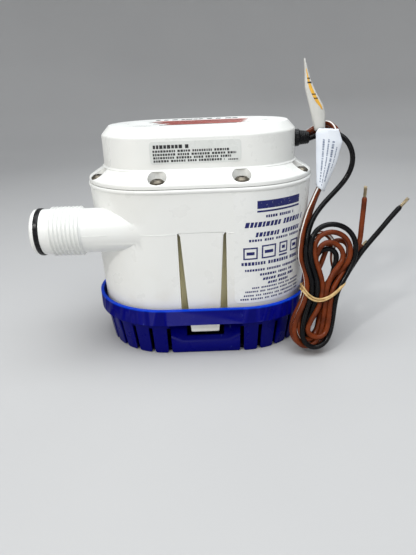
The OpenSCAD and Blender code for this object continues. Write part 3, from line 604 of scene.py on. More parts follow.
def metal(name, color, rough, streak=(1, 1, 30), dirt=0.5):
    r = Recipe(name, color, rough=rough, metallic=1.0)
    r.mottle(140, 5, 0.45, 0.75, shaded(color, 0.3), dirt)
    brushed = r.noise(120, 3, r.stretched(streak))
    r.roughness(brushed, rough - 0.08, rough + 0.14)
    r.bump(brushed, 0.00004, 0.4)
    return r.mat


def paper(name, color, shade, rough=0.5):
    return surface(name, color, [(70, 4, 0.4, 0.75, shade, 0.8)], (200, 3, rough - 0.1, rough + 0.1),
                   [(900, 4, 0.00008, 0.5), (60, 2, 0.0004, 0.3)], rough=rough, specular=0.4)


def ink(name, color, bare):
    """Printing that has lost a little colour in small specks."""
    patches = [(700, 3, 0.62, 0.74, bare, 0.65), (90, 3, 0.45, 0.75, shaded(color, 0.6, 0.01), 0.5)]
    return surface(name, color, patches, (260, 3, 0.34, 0.52), [(1100, 2, 0.00003, 0.4)], rough=0.42,
                   specular=0.4)


def plain_class(slot, kind, color):
    """Materials of the pieces inside the housing, by their class."""
    if any(word in kind for word in ("steel", "iron", "brass", "copper", "alum")):
        return metal("inner_" + slot, color, 0.5 if "iron" in kind else 0.32)
    if "rubber" in kind:
        return rubber("inner_" + slot, color)
    return surface("inner_" + slot, color, [(120, 4, 0.4, 0.7, shaded(color, 0.7), 0.7)],
                   (150, 3, 0.38, 0.6), [(800, 3, 0.00008, 0.5)], rough=0.5)


def copper_wire():
    r = Recipe("inner_copper", (0.62, 0.25, 0.09), rough=0.3, metallic=1.0)
    turns = r.add("ShaderNodeTexWave", "Fac", (("Scale", 900), ("Vector", r.place)), bands_direction="Z")
    r.paint(r.between(turns, 0.55, 0.15), (0.22, 0.07, 0.02))
    r.roughness(r.noise(200, 3), 0.24, 0.42)
    r.bump(turns, 0.0003, 0.9)
    return r.mat


def circuit_board():
    r = Recipe("inner_board_green", (0.015, 0.13, 0.05), rough=0.35)
    lanes = r.cells(160)
    r.paint(r.between(lanes, 0.08, 0.12), (0.03, 0.2, 0.075))
    r.paint(r.between(r.cells(330), 0.16, 0.12, 0, 0.8), (0.5, 0.42, 0.22))
    r.roughness(r.noise(120, 3), 0.26, 0.42)
    r.bump(lanes, 0.0001, 0.5)
    return r.mat


def float_foam():
    r = Recipe("inner_float_plastic", (0.80, 0.34, 0.07), rough=0.6)
    pores = r.cells(900)
    r.paint(r.between(pores, 0.25, 0.05, 0, 0.6), (0.42, 0.15, 0.03))
    r.roughness(r.noise(150, 3), 0.5, 0.7)
    r.bump(pores, 0.0003, 0.7)
    return r.mat


MATS = {
    "white": white_moulding("white_moulding"),
    "housing": white_moulding("white_housing_moulding", recess=True),
    "blue": blue_moulding(),
    "black_wire": insulation("black_insulation", (0.003, 0.003, 0.0035), (0.006, 0.006, 0.007)),
    "brown_wire": insulation("brown_insulation", (0.15, 0.029, 0.007), (0.088, 0.017, 0.005)),
    "striped_wire": insulation("striped_insulation", (0.15, 0.029, 0.007), (0.088, 0.017, 0.005), True),
    "gland": rubber("gland_rubber", (0.005, 0.005, 0.006), gloss=True),
    "ring": rubber("ring_rubber", (0.008, 0.008, 0.009), gloss=True),
    "seal": rubber("seal_rubber", (0.02, 0.02, 0.02)),
    # painted shade: the gasket is pale grey so that the seam under the cover shows as a soft grey shadow line
    "gasket": rubber("gasket_rubber", (0.62, 0.62, 0.6)),
    "band": band_rubber(),
    "strands": metal("tinned_strands", (0.42, 0.34, 0.22), 0.38, (1, 1, 8), 0.8),
    "screws": metal("screw_steel", (0.17, 0.15, 0.12), 0.34, (1, 20, 1), 0.8),
    "tag": paper("tag_paper", (0.80, 0.84, 0.90), (0.70, 0.75, 0.84), 0.42),
    "flap": paper("flap_film", (0.66, 0.66, 0.63), (0.52, 0.52, 0.48), 0.4),
    "patch": paper("flap_patch", (0.86, 0.48, 0.06), (0.72, 0.34, 0.03), 0.45),
    "vinyl": paper("label_vinyl", (0.80, 0.81, 0.795), (0.775, 0.785, 0.765), 0.34),
    "silver": paper("silver_film", (0.69, 0.71, 0.69), (0.64, 0.66, 0.64), 0.34),
    "navy_ink": ink("navy_ink", (0.004, 0.008, 0.12), (0.6, 0.62, 0.66)),
    "black_ink": ink("black_ink", (0.018, 0.018, 0.02), (0.4, 0.42, 0.42)),
    "grey_ink": ink("grey_ink", (0.22, 0.26, 0.36), (0.7, 0.74, 0.8)),
    "red_ink": ink("red_ink", (0.36, 0.055, 0.035), (0.6, 0.4, 0.38)),
}

SPECIAL = {"white_plastic": "white", "blue_plastic": "blue", "black_insulation": "black_wire",
           "brown_insulation": "brown_wire", "hank_insulation": "brown_wire", "gland_rubber": "gland",
           "seal_rubber": "seal", "band_rubber": "band", "screw_steel": "screws", "strand_metal": "strands",
           "label_paper": "tag", "sticker_paper": "vinyl", "silver_sticker": "silver",
           "decal_film": "red_ink"}


def dress_nodes():
    record = frame["record"]
    slots = {part["node"]: part["material_slot"] for part in record["subparts"]}
    kinds = {m["slot"]: m for m in record["materials"]}
    made = {"copper": copper_wire(), "board_green": circuit_board(), "float_plastic": float_foam()}
    for node, obj in NODES.items():
        name = slots[node]
        if node in ("spout_o_ring", "cover_gasket"):
            mat = MATS["ring" if node == "spout_o_ring" else "gasket"]
        elif name in SPECIAL:
            mat = MATS[SPECIAL[name]]
        else:
            if name not in made:
                made[name] = plain_class(name, kinds[name]["class"], kinds[name]["base_color"])
            mat = made[name]
        if not obj.material_slots:
            obj.data.materials.append(mat)
        for place in obj.material_slots:
            place.material = mat


dress_nodes()


# ---- the leads

def merge(name, objects):
    """One object from several meshes, with their UVs."""
    bm = bmesh.new()
    for obj in objects:
        bm.from_mesh(obj.data)
        bpy.data.objects.remove(obj)
    mesh = bpy.data.meshes.new(name)
    bm.to_mesh(mesh)
    bm.free()
    mesh.shade_smooth()
    return add_object(name, mesh)


OUTER_STRANDS, STRAND_RADIUS = 7, 0.33 * MM


def bare_strands(name, path, length, seed):
    """Twisted strands that carry on from the end of a lead, seven round one, splayed at their tips."""
    rng = random.Random(seed)
    along = (path[-1] - path[-4]).normalized()
    side = along.cross(Vector((0, 0, 1))).normalized()
    other = along.cross(side)
    buried = 2.5 * MM
    parts = []
    for k in range(OUTER_STRANDS + 1):
        ring = 0.0 if k == OUTER_STRANDS else 0.78
        splay = rng.uniform(0.0, 0.28)
        reach = length * rng.uniform(0.88, 1.0)
        points = []
        for i in range(9):
            t = i / 8
            angle = 2 * pi * k / OUTER_STRANDS + t * 1.5
            r = (ring + splay * t * t) * MM
            points.append(path[-1] + along * ((reach + buried) * t - buried)
                          + (side * cos(angle) + other * sin(angle)) * r)
        parts.append(sweep(name + str(k), points, STRAND_RADIUS, sides=7))
    obj = dress(merge(name, parts), MATS["strands"])
    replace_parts(obj, "bare_wire_ends")
    return obj


LEAD_PATHS = make_paths()


def make_leads():
    look = {"black": ("black_wire", "black_insulation", 0.008),
            "brown": ("brown_wire", "brown_insulation", 0.005),
            "striped": ("striped_wire", "brown_insulation", 0.008)}
    out = {}
    for k, (name, path) in enumerate(LEAD_PATHS.items()):
        mat, slot, bare = look[name]
        tube = sweep(name + "_supply_lead", path, LEAD_R * MM, twist=14.0, turn=1.1 + k,
                     end_radius=(LEAD_R - 0.35) * MM)
        dress(tube, MATS[mat])
        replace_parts(tube, name + "_lead", name + "_tail", "lead_hank")
        out[name] = (tube, bare_strands(name + "_bare_strands", path, bare, 11 + k))
    return out


LEADS = make_leads()


def band_point(theta, lift, drop):
    """A point on the loop of the rubber band, as an angle round the hank."""
    c, s = cos(theta), sin(theta)
    u = (13.5 + lift) * copysign(abs(c) ** 0.62, c)
    w = (HANK_HALF + 0.35 + lift) * copysign(abs(s) ** 0.42, s)
    front = 21.9 + 0.05 * (u + 4.0) ** 2
    back = 32.0 + 0.27 * u
    t = min(max(0.5 + w / 12.0, 0.0), 1.0)
    t = t * t * (3 - 2 * t)
    return hank(u, back + (front - back) * t + drop, w) * MM


def make_band():
    """Four runs of the band, two of which cross the other two."""
    runs, steps, spacing = 4, 72, 0.0012
    parts = []
    for k in range(runs):
        points = []
        for i in range(steps + 1):
            theta = 2 * pi * i / steps
            wobble = 2 * pi * (k / runs) + theta * (1 if k < 2 else -1)
            drop = (k - 1.5) * 0.72 + 0.5 * cos(wobble)
            points.append(band_point(theta, 0.55 + 0.42 * sin(wobble), drop))
        line = even(catmull(points, spacing), spacing)
        parts.append(sweep("band" + str(k), line, 0.00056, sides=9, caps=False))
    band = dress(merge("hank_rubber_band", parts), MATS["band"])
    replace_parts(band, "rubber_band")
    return band


BAND = make_band()


# ---- tag and flap on the leads
# Edges of the paper as (height along it, x, z) and its front as (height along it, y), in millimetres.

TAG_LEFT = [(0, 81.0, 111.8), (0.45, 80.3, 129.4), (0.9, 79.6, 147.4), (1, 81.6, 150.0)]
TAG_RIGHT = [(0, 86.6, 107.6), (0.22, 90.6, 117.2), (0.5, 95.0, 127.4), (0.82, 98.2, 140.4), (1, 95.2, 149.0)]
TAG_FRONT = [(0, -19.8), (0.25, -18.4), (0.55, -16.9), (0.8, -16.2), (1, -15.2)]


def edge_point(left, right, t, side):
    """x and z between two edges: t runs up them, and side from 0 at the left to 1 at the right."""
    (lx, lz), (rx, rz) = lerp_table(left, t), lerp_table(right, t)
    return lx + (rx - lx) * side, lz + (rz - lz) * side


def tag_point(t, side, layer=0.0):
    """Front of the folded tag."""
    x, z = edge_point(TAG_LEFT, TAG_RIGHT, t, side)
    bow = (side - 0.45) ** 2 * 9.0
    crease = 0.9 * max(0.0, 1 - abs(side - 0.72 + 0.3 * t) / 0.08) * (t > 0.62)
    return mm(x, lerp_table(TAG_FRONT, t)[0] + bow - 0.5 - crease * 0.5 - layer, z)


def make_tag():
    rows, cols = 34, 22
    loop = [(j / cols, False) for j in range(cols + 1)] + [(j / cols, True) for j in range(cols - 1, 2, -1)]
    verts = []
    for t in spread_out(0, 1, rows):
        depth = 9.6 - 3.0 * t if t < 0.9 else 6.9 - 30 * (t - 0.9)
        for side, behind in loop:
            edge = sin(pi * side) ** 0.5 if behind else 0
            verts.append(tag_point(t, side) + mm(0, depth * edge, 0))
    tag = add_mesh("folded_wire_tag", verts, sheet_faces(rows + 1, len(loop)), MATS["tag"], "label_paper")
    thicken(tag, 0.00028)
    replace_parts(tag, "wire_label")
    # rows of small generic marks along the tag
    rng = random.Random(5)
    slabs = []
    for near, far, t, stop in ((0.24, 0.31, 0.10, 0.80), (0.43, 0.48, 0.06, 0.84),
                               (0.60, 0.69, 0.14, 0.80), (0.80, 0.84, 0.34, 0.74)):
        while t < stop:
            step = rng.uniform(0.012, 0.034)
            grid = [[tag_point(t + step * a, s, 0.30) for a in (0, 0.5, 1)] for s in (near, far)]
            slabs.append((grid, mm(0, 0.3, 0)))
            t += step + rng.choice((0.008, 0.008, 0.022))
    return tag, add_slabs("tag_marks", slabs, MATS["grey_ink"], "label_paper")


FLAP_LEFT = [(0, 79.8, 148.2), (0.35, 74.8, 165.0), (0.6, 71.5, 176.0), (1, 70.3, 193.4)]
FLAP_RIGHT = [(0, 86.4, 149.0), (0.22, 86.0, 159.4), (0.34, 84.0, 164.6), (0.54, 78.8, 173.0),
              (0.7, 75.2, 180.4), (1, 70.9, 193.6)]
PATCH_LEFT = [(0.28, 0.80), (0.4, 0.52), (0.6, 0.38), (0.86, 0.34)]
PATCH_RIGHT = [(0.28, 0.88), (0.4, 0.84), (0.6, 0.78), (0.86, 0.52)]


def flap_point(t, side, layer=0.0):
    x, z = edge_point(FLAP_LEFT, FLAP_RIGHT, t, side)
    return mm(x, -12.6 + 1.6 * (side - 0.5) ** 2 * 4 - 1.1 * sin(pi * t) + layer, z)


def make_flap():
    rows, cols = 30, 8
    spots = [(t, side) for t in spread_out(0, 1, rows) for side in spread_out(0, 1, cols)]
    # a second leaf is folded behind the first
    verts = [flap_point(t, s) for t, s in spots]
    verts += [flap_point(t * 0.97, 0.02 + 0.9 * s, 0.5 + 2.2 * (1 - t)) for t, s in spots]
    faces = sheet_faces(rows + 1, cols + 1) + sheet_faces(rows + 1, cols + 1, len(spots))
    flap = add_mesh("folded_film_flap", verts, faces, MATS["flap"], "label_paper")
    thicken(flap, 0.00026)
    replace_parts(flap, "warning_flap")
    grid = []
    for t in spread_out(0.28, 0.86, 24):
        left, right = lerp_table(PATCH_LEFT, t)[0], lerp_table(PATCH_RIGHT, t)[0]
        grid.append([flap_point(t, side, -0.24) for side in spread_out(left, right, 5)])
    depth = mm(0, 0.2, 0)
    patch = add_slabs("flap_colour_patch", [(grid, depth)], MATS["patch"], "label_paper", smooth=True)
    slabs = []
    for t0, t1, s0, s1 in ((0.66, 0.68, 0.3, 0.9), (0.72, 0.735, 0.35, 0.88), (0.50, 0.515, 0.45, 0.85),
                           (0.44, 0.455, 0.5, 0.85)):
        grid = [[flap_point(t, side, -0.36) for side in spread_out(s0, s1, 4)] for t in (t0, t1)]
        slabs.append((grid, depth))
    marks = add_slabs("flap_marks", slabs, MATS["black_ink"], "label_paper")
    return flap, patch, marks


TAG = make_tag()
FLAP = make_flap()


# ---- turned gland

GLAND_Y, GLAND_Z, GLAND_SIDES = 0, 143, 64


def make_gland():
    """Body of revolution about a line along +X: profile is (x, radius) in millimetres."""
    profile = [(62.1, 6.0), (62.1, 6.7), (63.6, 6.7), (63.7, 5.0), (67.4, 5.0), (67.5, 5.7), (67.8, 5.95),
               (68.3, 6.0), (70.2, 6.0), (70.7, 5.85), (71.0, 5.5), (71.2, 5.1)]
    x, r = 71.4, 5.05
    while x < 77.0:
        profile += [(x, r - 0.22), (x + 0.25, r), (x + 0.75, r), (x + 0.95, r - 0.22), (x + 1.15, r - 0.3)]
        x += 1.25
        r -= 0.13
    profile += [(77.4, 4.25), (77.8, 4.1), (78.0, 3.8)]
    verts = [mm(x, GLAND_Y + r * cos(a), GLAND_Z + r * sin(a))
             for x, r in profile for a in circle(GLAND_SIDES)]
    gland = add_mesh("cable_strain_relief", verts, tube_faces(len(profile), GLAND_SIDES), MATS["gland"],
                     "gland_rubber")
    face_outwards(gland)
    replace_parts(gland, "cable_gland")
    return gland


GLAND = make_gland()

for name, (tube, strands) in LEADS.items():
    pieces = [strands]
    if name == "black":
        pieces += [BAND, GLAND]
    if name == "brown":
        pieces += [*TAG, *FLAP]


# ---- moulded shells

def shade(obj):
    """Smooth shading that keeps large faces flat and sharp corners sharp."""
    obj.data.shade_smooth()
    obj.data.set_sharp_from_angle(angle=radians(38))
    obj.modifiers.new("shading", "WEIGHTED_NORMAL").keep_sharp = True
    apply_modifiers(obj)


def soften(obj, width, segments=2, angle=32, fine=None):
    """Round the sharp edges of a mesh. Flat faces are merged first; fine(middle) scales an edge's radius."""
    bm = bmesh.new()
    bm.from_mesh(obj.data)
    bmesh.ops.remove_doubles(bm, verts=bm.verts, dist=2e-6)
    bmesh.ops.dissolve_limit(bm, angle_limit=radians(0.5), verts=bm.verts, edges=bm.edges)
    weight = bm.edges.layers.float.new("bevel_weight_edge")
    for edge in bm.edges:
        if len(edge.link_faces) == 2 and edge.calc_face_angle(0) > radians(angle):
            middle = (edge.verts[0].co + edge.verts[1].co) / 2
            edge[weight] = fine(middle) if fine else 1.0
    bm.to_mesh(obj.data)
    bm.free()
    bevel = obj.modifiers.new("edges", "BEVEL")
    bevel.width = width
    bevel.segments = segments
    bevel.limit_method = "WEIGHT"
    bevel.use_clamp_overlap = True
    apply_modifiers(obj)
    shade(obj)


def soft_copy(node, name, width, mat, fine=None):
    """A copy of a CAD node of the pump's body, with its sharp edges rounded."""
    obj = add_object(name, NODES[node].data.copy())
    obj.data.materials.clear()
    soften(obj, width, 2, 34, fine)
    dress(obj, mat)
    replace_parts(obj, node)


def rounded(spread, rows):
    """Rings of a loft from (half width, height, corner radius) rows, with the corners rounded."""
    out = [(spread, *rows[0][:2])]
    for before, (h, z, r), after in zip(rows, rows[1:], rows[2:]):
        if r == 0:
            out.append((spread, h, z))
            continue
        p = Vector((h, z))
        a, b = Vector(before[:2]) - p, Vector(after[:2]) - p
        pa = p + a.normalized() * min(r, a.length * 0.48)
        pb = p + b.normalized() * min(r, b.length * 0.48)
        for t in spread_out(0, 1, 5):
            q = pa * (1 - t) ** 2 + p * 2 * t * (1 - t) + pb * t * t
            out.append((spread, q.x, q.y))
    return out + [(spread, *rows[-1][:2])]


def oval_ring(spread, half, z, arc=44, straight=10):
    """Points round an oval, anticlockwise from the middle of its front."""
    steps = straight // 2
    turn = [(half * sin(a), half * cos(a)) for a in spread_out(0, pi, arc)]
    out = [mm(x, -half, z) for x in spread_out(0, spread, steps)[:-1]]
    out += [mm(spread + s, -c, z) for s, c in turn]
    out += [mm(x, half, z) for x in spread_out(spread, -spread, straight)[1:-1]]
    out += [mm(-spread - s, c, z) for s, c in turn]
    return out + [mm(x, -half, z) for x in spread_out(-spread, 0, steps)[1:-1]]


def white_loft(name, rings, closed=False):
    verts = [p for ring in rings for p in oval_ring(*ring)]
    faces = tube_faces(len(rings), len(verts) // len(rings), closed)
    return face_outwards(add_mesh(name, verts, faces, MATS["white"], "white_plastic"))


SCREW_SPOTS = [(end * x, side * y) for x, y in ((26.8, 47), (69.2, 20.6))
               for end in (-1, 1) for side in (-1, 1)]
POCKET_RADIUS, POCKET_SIDES = 6.0, 40


def pocket_cutter(x, y):
    """Cutter for a scooped screw pocket: its foot is rounded and it widens upwards."""
    profile = [(POCKET_RADIUS * share, h) for share, h in ((0.7, 0), (0.9, 0.2), (1, 0.9), (1.08, 9))]
    verts = [mm(x + r * cos(a), y + r * sin(a), FLANGE_RIM + h)
             for r, h in profile for a in circle(POCKET_SIDES)]
    return add_object("cutter", new_mesh("cutter", verts, tube_faces(len(profile), POCKET_SIDES)))


def make_cover():
    rings = rounded(SPREAD, [
        (39.6, FLANGE_FOOT, 0), (FLANGE_HALF, FLANGE_FOOT, 0.35), (FLANGE_HALF, FLANGE_RIM, 1.1),
        (SLOPE_HALF, SLOPE_TOP, 0.8), (40.2, 130.3, 0)])
    rings[-1] = (SPREAD + 0.5, *rings[-1][1:])
    flange = white_loft("moulded_cover_flange", rings)
    cutters = [pocket_cutter(x, y) for x, y in SCREW_SPOTS]
    for k, cutter in enumerate(cutters):
        mod = flange.modifiers.new("cut" + str(k), "BOOLEAN")
        mod.operation = "DIFFERENCE"
        mod.solver = "EXACT"
        mod.object = cutter
    apply_modifiers(flange)
    for cutter in cutters:
        bpy.data.objects.remove(cutter)
    soften(flange, 0.0007, 3, 24)
    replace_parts(flange, "cover_flange")
    cap = white_loft("moulded_cover_cap", rounded(CAP_SPREAD, [
        (38.0, 120.6, 0), (CAP_HALF, 120.6, 0), (CAP_HALF, 150.5, 0.9), (35.0, CAP_TOP, 0.8),
        (24, CAP_TOP, 0), (10, CAP_TOP, 0), (0.4, CAP_TOP, 0), (0.4, 155.0, 0), (34.0, 154.9, 0.5),
        (38.0, 149.5, 0)]), closed=True)
    shade(cap)
    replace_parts(cap, "cover_cap")
    # small fillet where the cap rises from the sloping flange
    radius, fillet = 1.5, []
    for a in spread_out(0, pi / 2, 6):
        fillet.append((CAP_SPREAD, 41.9 - radius * sin(a), SLOPE_TOP + radius - radius * cos(a)))
    fillet += [(CAP_SPREAD, 39.9, 131.4), (CAP_SPREAD, 39.9, 129.4), (CAP_SPREAD, 41.4, 129.4)]
    white_loft("cover_fillet", fillet, closed=True)


def wall_half(z):
    """Half depth of the drafted housing at a height."""
    return 49.7 + 3.3 * (z - 28) / 91.6


def seam_line(name, points, radius):
    dress(sweep(name, points, radius, sides=8), MATS["white"])


def make_housing():
    def thread_edge(middle):
        return 0.3 if middle.x < -0.084 else 1.0
    soft_copy("pump_housing", "moulded_housing", 0.0004, MATS["housing"], thread_edge)
    # rolled lip just under the cover
    lip = []
    for a in spread_out(-pi / 2, pi / 2, 8):
        lip.append((SPREAD, wall_half(118.3) + 0.95 * cos(a) - 0.2, 118.6 + 1.35 * sin(a)))
    lip += [(SPREAD, 51.6, 119.9), (SPREAD, 51.6, 117.3)]
    white_loft("housing_lip", lip, closed=True)
    # moulding line across the sides and along the outlet
    half, xs = wall_half(SEAM_Z), (17.2, 20, 23, SPREAD)
    bend = [radians(a) for a in range(4, 177, 4)]
    for name, sign in (("left_parting_line", -1), ("right_parting_line", 1)):
        points = [mm(sign * x, -half, SEAM_Z) for x in xs]
        points += [mm(sign * (SPREAD + half * sin(a)), -half * cos(a), SEAM_Z) for a in bend]
        points += [mm(sign * x, half, SEAM_Z) for x in reversed(xs)]
        seam_line(name, points, 0.00022)
    for name, y, xs in (("outlet_front_seam", -50, (-79, -77, -72, -66, -62)),
                        ("outlet_rear_seam", -20, (-79, -77, -74, -71))):
        seam_line(name, [mm(x, y, 91.0) for x in xs], 0.0002)


TAB_FOOT, TAB_WIDE, TAB_TOP = 28.6, 89.6, 91.9
LEG_HALF, CATCH_HALF, CATCH_TOP = 9.9, 10.4, 24.7


def box_part(verts, faces, x, y0, y1, z0, z1):
    """Box from -x to x. Its y0 and y1 may come in either order."""
    base = len(verts)
    y0, y1 = sorted((y0, y1))
    for z in (z0, z1):
        verts += [mm(-x, y0, z), mm(x, y0, z), mm(x, y1, z), mm(-x, y1, z)]
    for quad in ((0, 3, 2, 1), (4, 5, 6, 7), (0, 1, 5, 4), (1, 2, 6, 5), (2, 3, 7, 6), (3, 0, 4, 7)):
        faces.append(tuple(base + q for q in quad))


def make_tab(body, node, sign):
    """Panel that widens at its top, with the leg and catch that reach behind the strainer's rim."""
    facts = {"material": MATS["white"], "slot": "white_plastic", "body": body}
    grid = []
    for z in spread_out(TAB_FOOT, TAB_TOP, 40):
        half = 11.2 + 3 * (min(z, TAB_WIDE) - 37) / (TAB_WIDE - 37) + max(z - TAB_WIDE, 0) * 0.9
        grid.append([mm(x, sign * wall_half(z), z) for x in spread_out(-half, half, 12)])
    slab = (grid, mm(0, -sign * 2.4, 0))
    panel = face_outwards(add_slabs(body + "_panel", [slab], smooth=True, **facts))
    bevel = panel.modifiers.new("edges", "BEVEL")
    bevel.width, bevel.segments, bevel.limit_method = 0.0005, 3, "ANGLE"
    bevel.angle_limit = radians(40)
    apply_modifiers(panel)
    panel.data.shade_smooth()
    panel.parent = None
    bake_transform(panel)
    verts, faces = [], []
    box_part(verts, faces, LEG_HALF, sign * 45.6, sign * 48.0, 17, 30)
    box_part(verts, faces, CATCH_HALF, sign * 45.9, sign * 48.6, 28.4, 32.8)
    leg = add_mesh(body + "_leg", verts, faces, **facts)
    soften(leg, 0.0004)
    outline = [(46, 17), (48.6, 17), (50.6, 18.6), (51, CATCH_TOP), (46, CATCH_TOP)]
    verts = [mm(end * (CATCH_HALF - 0.7 * (CATCH_TOP - z) / 7.7), sign * y, z)
             for end in (-1, 1) for y, z in outline]
    faces = [(4, 3, 2, 1, 0), (5, 6, 7, 8, 9), *((k, (k + 1) % 5, 5 + (k + 1) % 5, 5 + k) for k in range(5))]
    catch = face_outwards(add_mesh(body + "_catch", verts, faces, **facts))
    soften(catch, 0.0005, 3)
    for piece in (panel, leg, catch):
        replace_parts(piece, node)


make_cover()
make_housing()
make_tab("front_tab", "front_release_tab", -1)
make_tab("rear_tab", "rear_release_tab", 1)
soft_copy("strainer_base", "strainer_bowl", 0.00025, MATS["blue"])
soft_copy("cover_screws", "pan_head_screws", 0.00012, MATS["screws"])


# ---- labels, printed with plain bars
# The films lie this far off the shell, and the print this far, in millimetres.

FILM_LIFT, PRINT_LIFT = 0.24, 0.31
BEND_RADIUS = 51.5          # of the housing's end, for distances along its wall
LABEL_START, LABEL_END = 21.0, 83.0


def wall_point(s, z, lift):
    """Point on the labelled side: s runs along the front from the centre towards the cable end."""
    half = wall_half(z) + lift
    if s <= SPREAD:
        return mm(s, -half, z)
    a = (s - SPREAD) / BEND_RADIUS
    return mm(SPREAD + half * sin(a), -half * cos(a), z)


def cap_point(x, z, lift):
    """Point on the front of the cap's side."""
    half = CAP_HALF + lift
    return mm(x, -sqrt(half ** 2 - min(x + CAP_SPREAD, 0) ** 2), z)


def inward(s, z, depth):
    return wall_point(s, z, 0.0) - wall_point(s, z, depth)


def wall_bar(s0, s1, z, height, slant=0.0):
    spots = spread_out(s0, s1, max(2, int((s1 - s0) / 1.5) + 1))
    grid = [[wall_point(s + way * slant, z + way * height / 2, PRINT_LIFT) for s in spots] for way in (-1, 1)]
    return grid, [inward(s, z, 0.16) for s in spots]


def words(rng, start, end, small, large, gap, space):
    """Runs of short blocks with spaces between groups, as plain as possible."""
    out = []
    s = start
    left = rng.randint(4, 9)
    while s < end:
        step = rng.uniform(small, large)
        out.append((s, min(s + step, end)))
        s += step + gap
        left -= 1
        if left == 0:
            s += space
            left = rng.randint(3, 9)
    return out


def label_rows(low, high, corner):
    """Heights up a label with round corners, each with how far its ends draw in."""
    steps = [corner * (1 - cos(radians(15 * k))) for k in range(7)]
    out = []
    for z in [low + d for d in steps] + [high - d for d in reversed(steps)]:
        d = min(z - low, high - z, corner)
        out.append((z, corner - sqrt(max(corner ** 2 - (corner - d) ** 2, 0))))
    return out


def make_labels():
    """The vinyl on the side and the silver film on the cap, with rounded corners."""
    grid = [[wall_point(s, z, FILM_LIFT) for s in spread_out(LABEL_START + inset, LABEL_END - inset, 40)]
            for z, inset in label_rows(38.8, 116.8, 4.0)]
    vinyl = [inward(s, 80, 0.3) for s in spread_out(LABEL_START, LABEL_END, 40)]
    silver_grid = [[cap_point(x, z, FILM_LIFT) for x in spread_out(-31 + inset, 27 - inset, 32)]
                   for z, inset in label_rows(134.2, 148.2, 2.2)]
    for name, rows, depth, mat, slot, node in (
            ("body_label_film", grid, vinyl, "vinyl", "sticker_paper", "body_label"),
            ("cap_label_film", silver_grid, mm(0, 0.3, 0), "silver", "silver_sticker", "cap_label")):
        film = add_slabs(name, [(rows, depth)], MATS[mat], slot, smooth=True)
        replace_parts(film, node)
        shade(film)


BODY_LINES = [
    # first and last place along the wall, height, size, block widths, gap, slant
    (42.0, 64.0, 100.2, 1.9, 0.9, 1.5, 0.5, 0.0),
    (28.4, 75.0, 95.1, 3.6, 1.5, 2.6, 0.75, 0.45),
    (35.4, 74.0, 88.2, 3.2, 1.4, 2.2, 0.75, 0.35),
    (30.8, 75.5, 84.3, 1.7, 0.9, 1.5, 0.55, 0.0),
    (25.8, 75.5, 68.0, 2.5, 1.2, 2.0, 0.6, 0.0),
    (28.2, 75.5, 63.2, 1.8, 0.9, 1.6, 0.5, 0.0),
    (38.7, 66.5, 59.5, 1.8, 0.9, 1.6, 0.5, 0.0),
    (41.0, 68.0, 56.0, 2.0, 1.1, 1.9, 0.5, 0.2),
    (45.0, 62.5, 52.8, 1.8, 1.0, 1.7, 0.5, 0.2),
    (33.2, 75.0, 49.9, 1.3, 0.7, 1.2, 0.45, 0.0),
    (28.4, 75.5, 47.2, 1.3, 0.7, 1.2, 0.45, 0.0),
    (27.4, 75.5, 44.3, 1.3, 0.7, 1.2, 0.45, 0.0),
    (24.9, 75.5, 41.6, 1.3, 0.7, 1.2, 0.45, 0.0),
]
CAP_LINES = [
    # the same along the cap's side, without a slant
    (-28.6, -6.0, 144.9, 2.4, 1.3, 2.2, 0.55),
    (-29.0, 19.4, 142.2, 1.45, 0.8, 1.5, 0.45),
    (-29.0, 23.8, 140.1, 1.45, 0.8, 1.5, 0.45),
    (-28.8, 20.6, 138.1, 1.45, 0.8, 1.5, 0.45),
    (-28.8, 16.4, 136.1, 1.45, 0.8, 1.5, 0.45),
    (18.8, 25.0, 135.9, 1.0, 0.6, 1.0, 0.35),
]
# four plain framed marks: first and last place along the wall, lower and upper edge
FRAMES = ((27.0, 36.8, 71.6, 79.0), (39.6, 50.2, 71.6, 80.0), (53.0, 60.2, 73.6, 80.2),
          (63.4, 71.5, 72.6, 79.6))


def frame_mark(s0, s1, z0, z1, line=1.0):
    bars = [wall_bar(s0, s1, z, line) for z in (z0, z1)]
    bars += [wall_bar(s, s + line, (z0 + z1) / 2, z1 - z0 - line) for s in (s0, s1 - line)]
    return bars + [wall_bar(s0 + 2.2, s1 - 2.2, (z0 + z1) / 2, 2.2)]


def make_body_print():
    rng = random.Random(21)
    # a plain heading: one heavy bar with a thinner one under it
    slabs = [wall_bar(36.0, 70.0, 108.2, 5.2), wall_bar(36.0, 70.0, 103.8, 1.2)]
    for start, end, z, size, small, large, gap, slant in BODY_LINES:
        for s0, s1 in words(rng, start, end, small, large, gap, gap * 2.6):
            slabs.append(wall_bar(s0, s1, z, size * rng.uniform(0.86, 1.0), slant))
    for frame_edges in FRAMES:
        slabs += frame_mark(*frame_edges)
    slabs.append(wall_bar(53.0, 60.2, 71.4, 1.2))
    add_slabs("body_label_print", slabs, MATS["navy_ink"], "sticker_paper")


def make_cap_print():
    rng = random.Random(33)
    slabs = []
    for start, end, z, size, small, large, gap in CAP_LINES:
        for x0, x1 in words(rng, start, end, small, large, gap, gap * 2.4):
            height = size * rng.uniform(0.85, 1.0)
            grid = [[cap_point(x, z + way * height / 2, PRINT_LIFT) for x in spread_out(x0, x1, 3)]
                    for way in (-1, 1)]
            slabs.append((grid, mm(0, 0.16, 0)))
    add_slabs("cap_label_print", slabs, MATS["black_ink"], "silver_sticker")


def stripe(x0, x1, y0, y1, slant, lift):
    rows = ((y0, 0), (y1, slant))
    grid = [[mm(x + shift, y, CAP_TOP + lift) for x in spread_out(x0, x1, 6)] for y, shift in rows]
    return grid, mm(0, 0, -0.14)


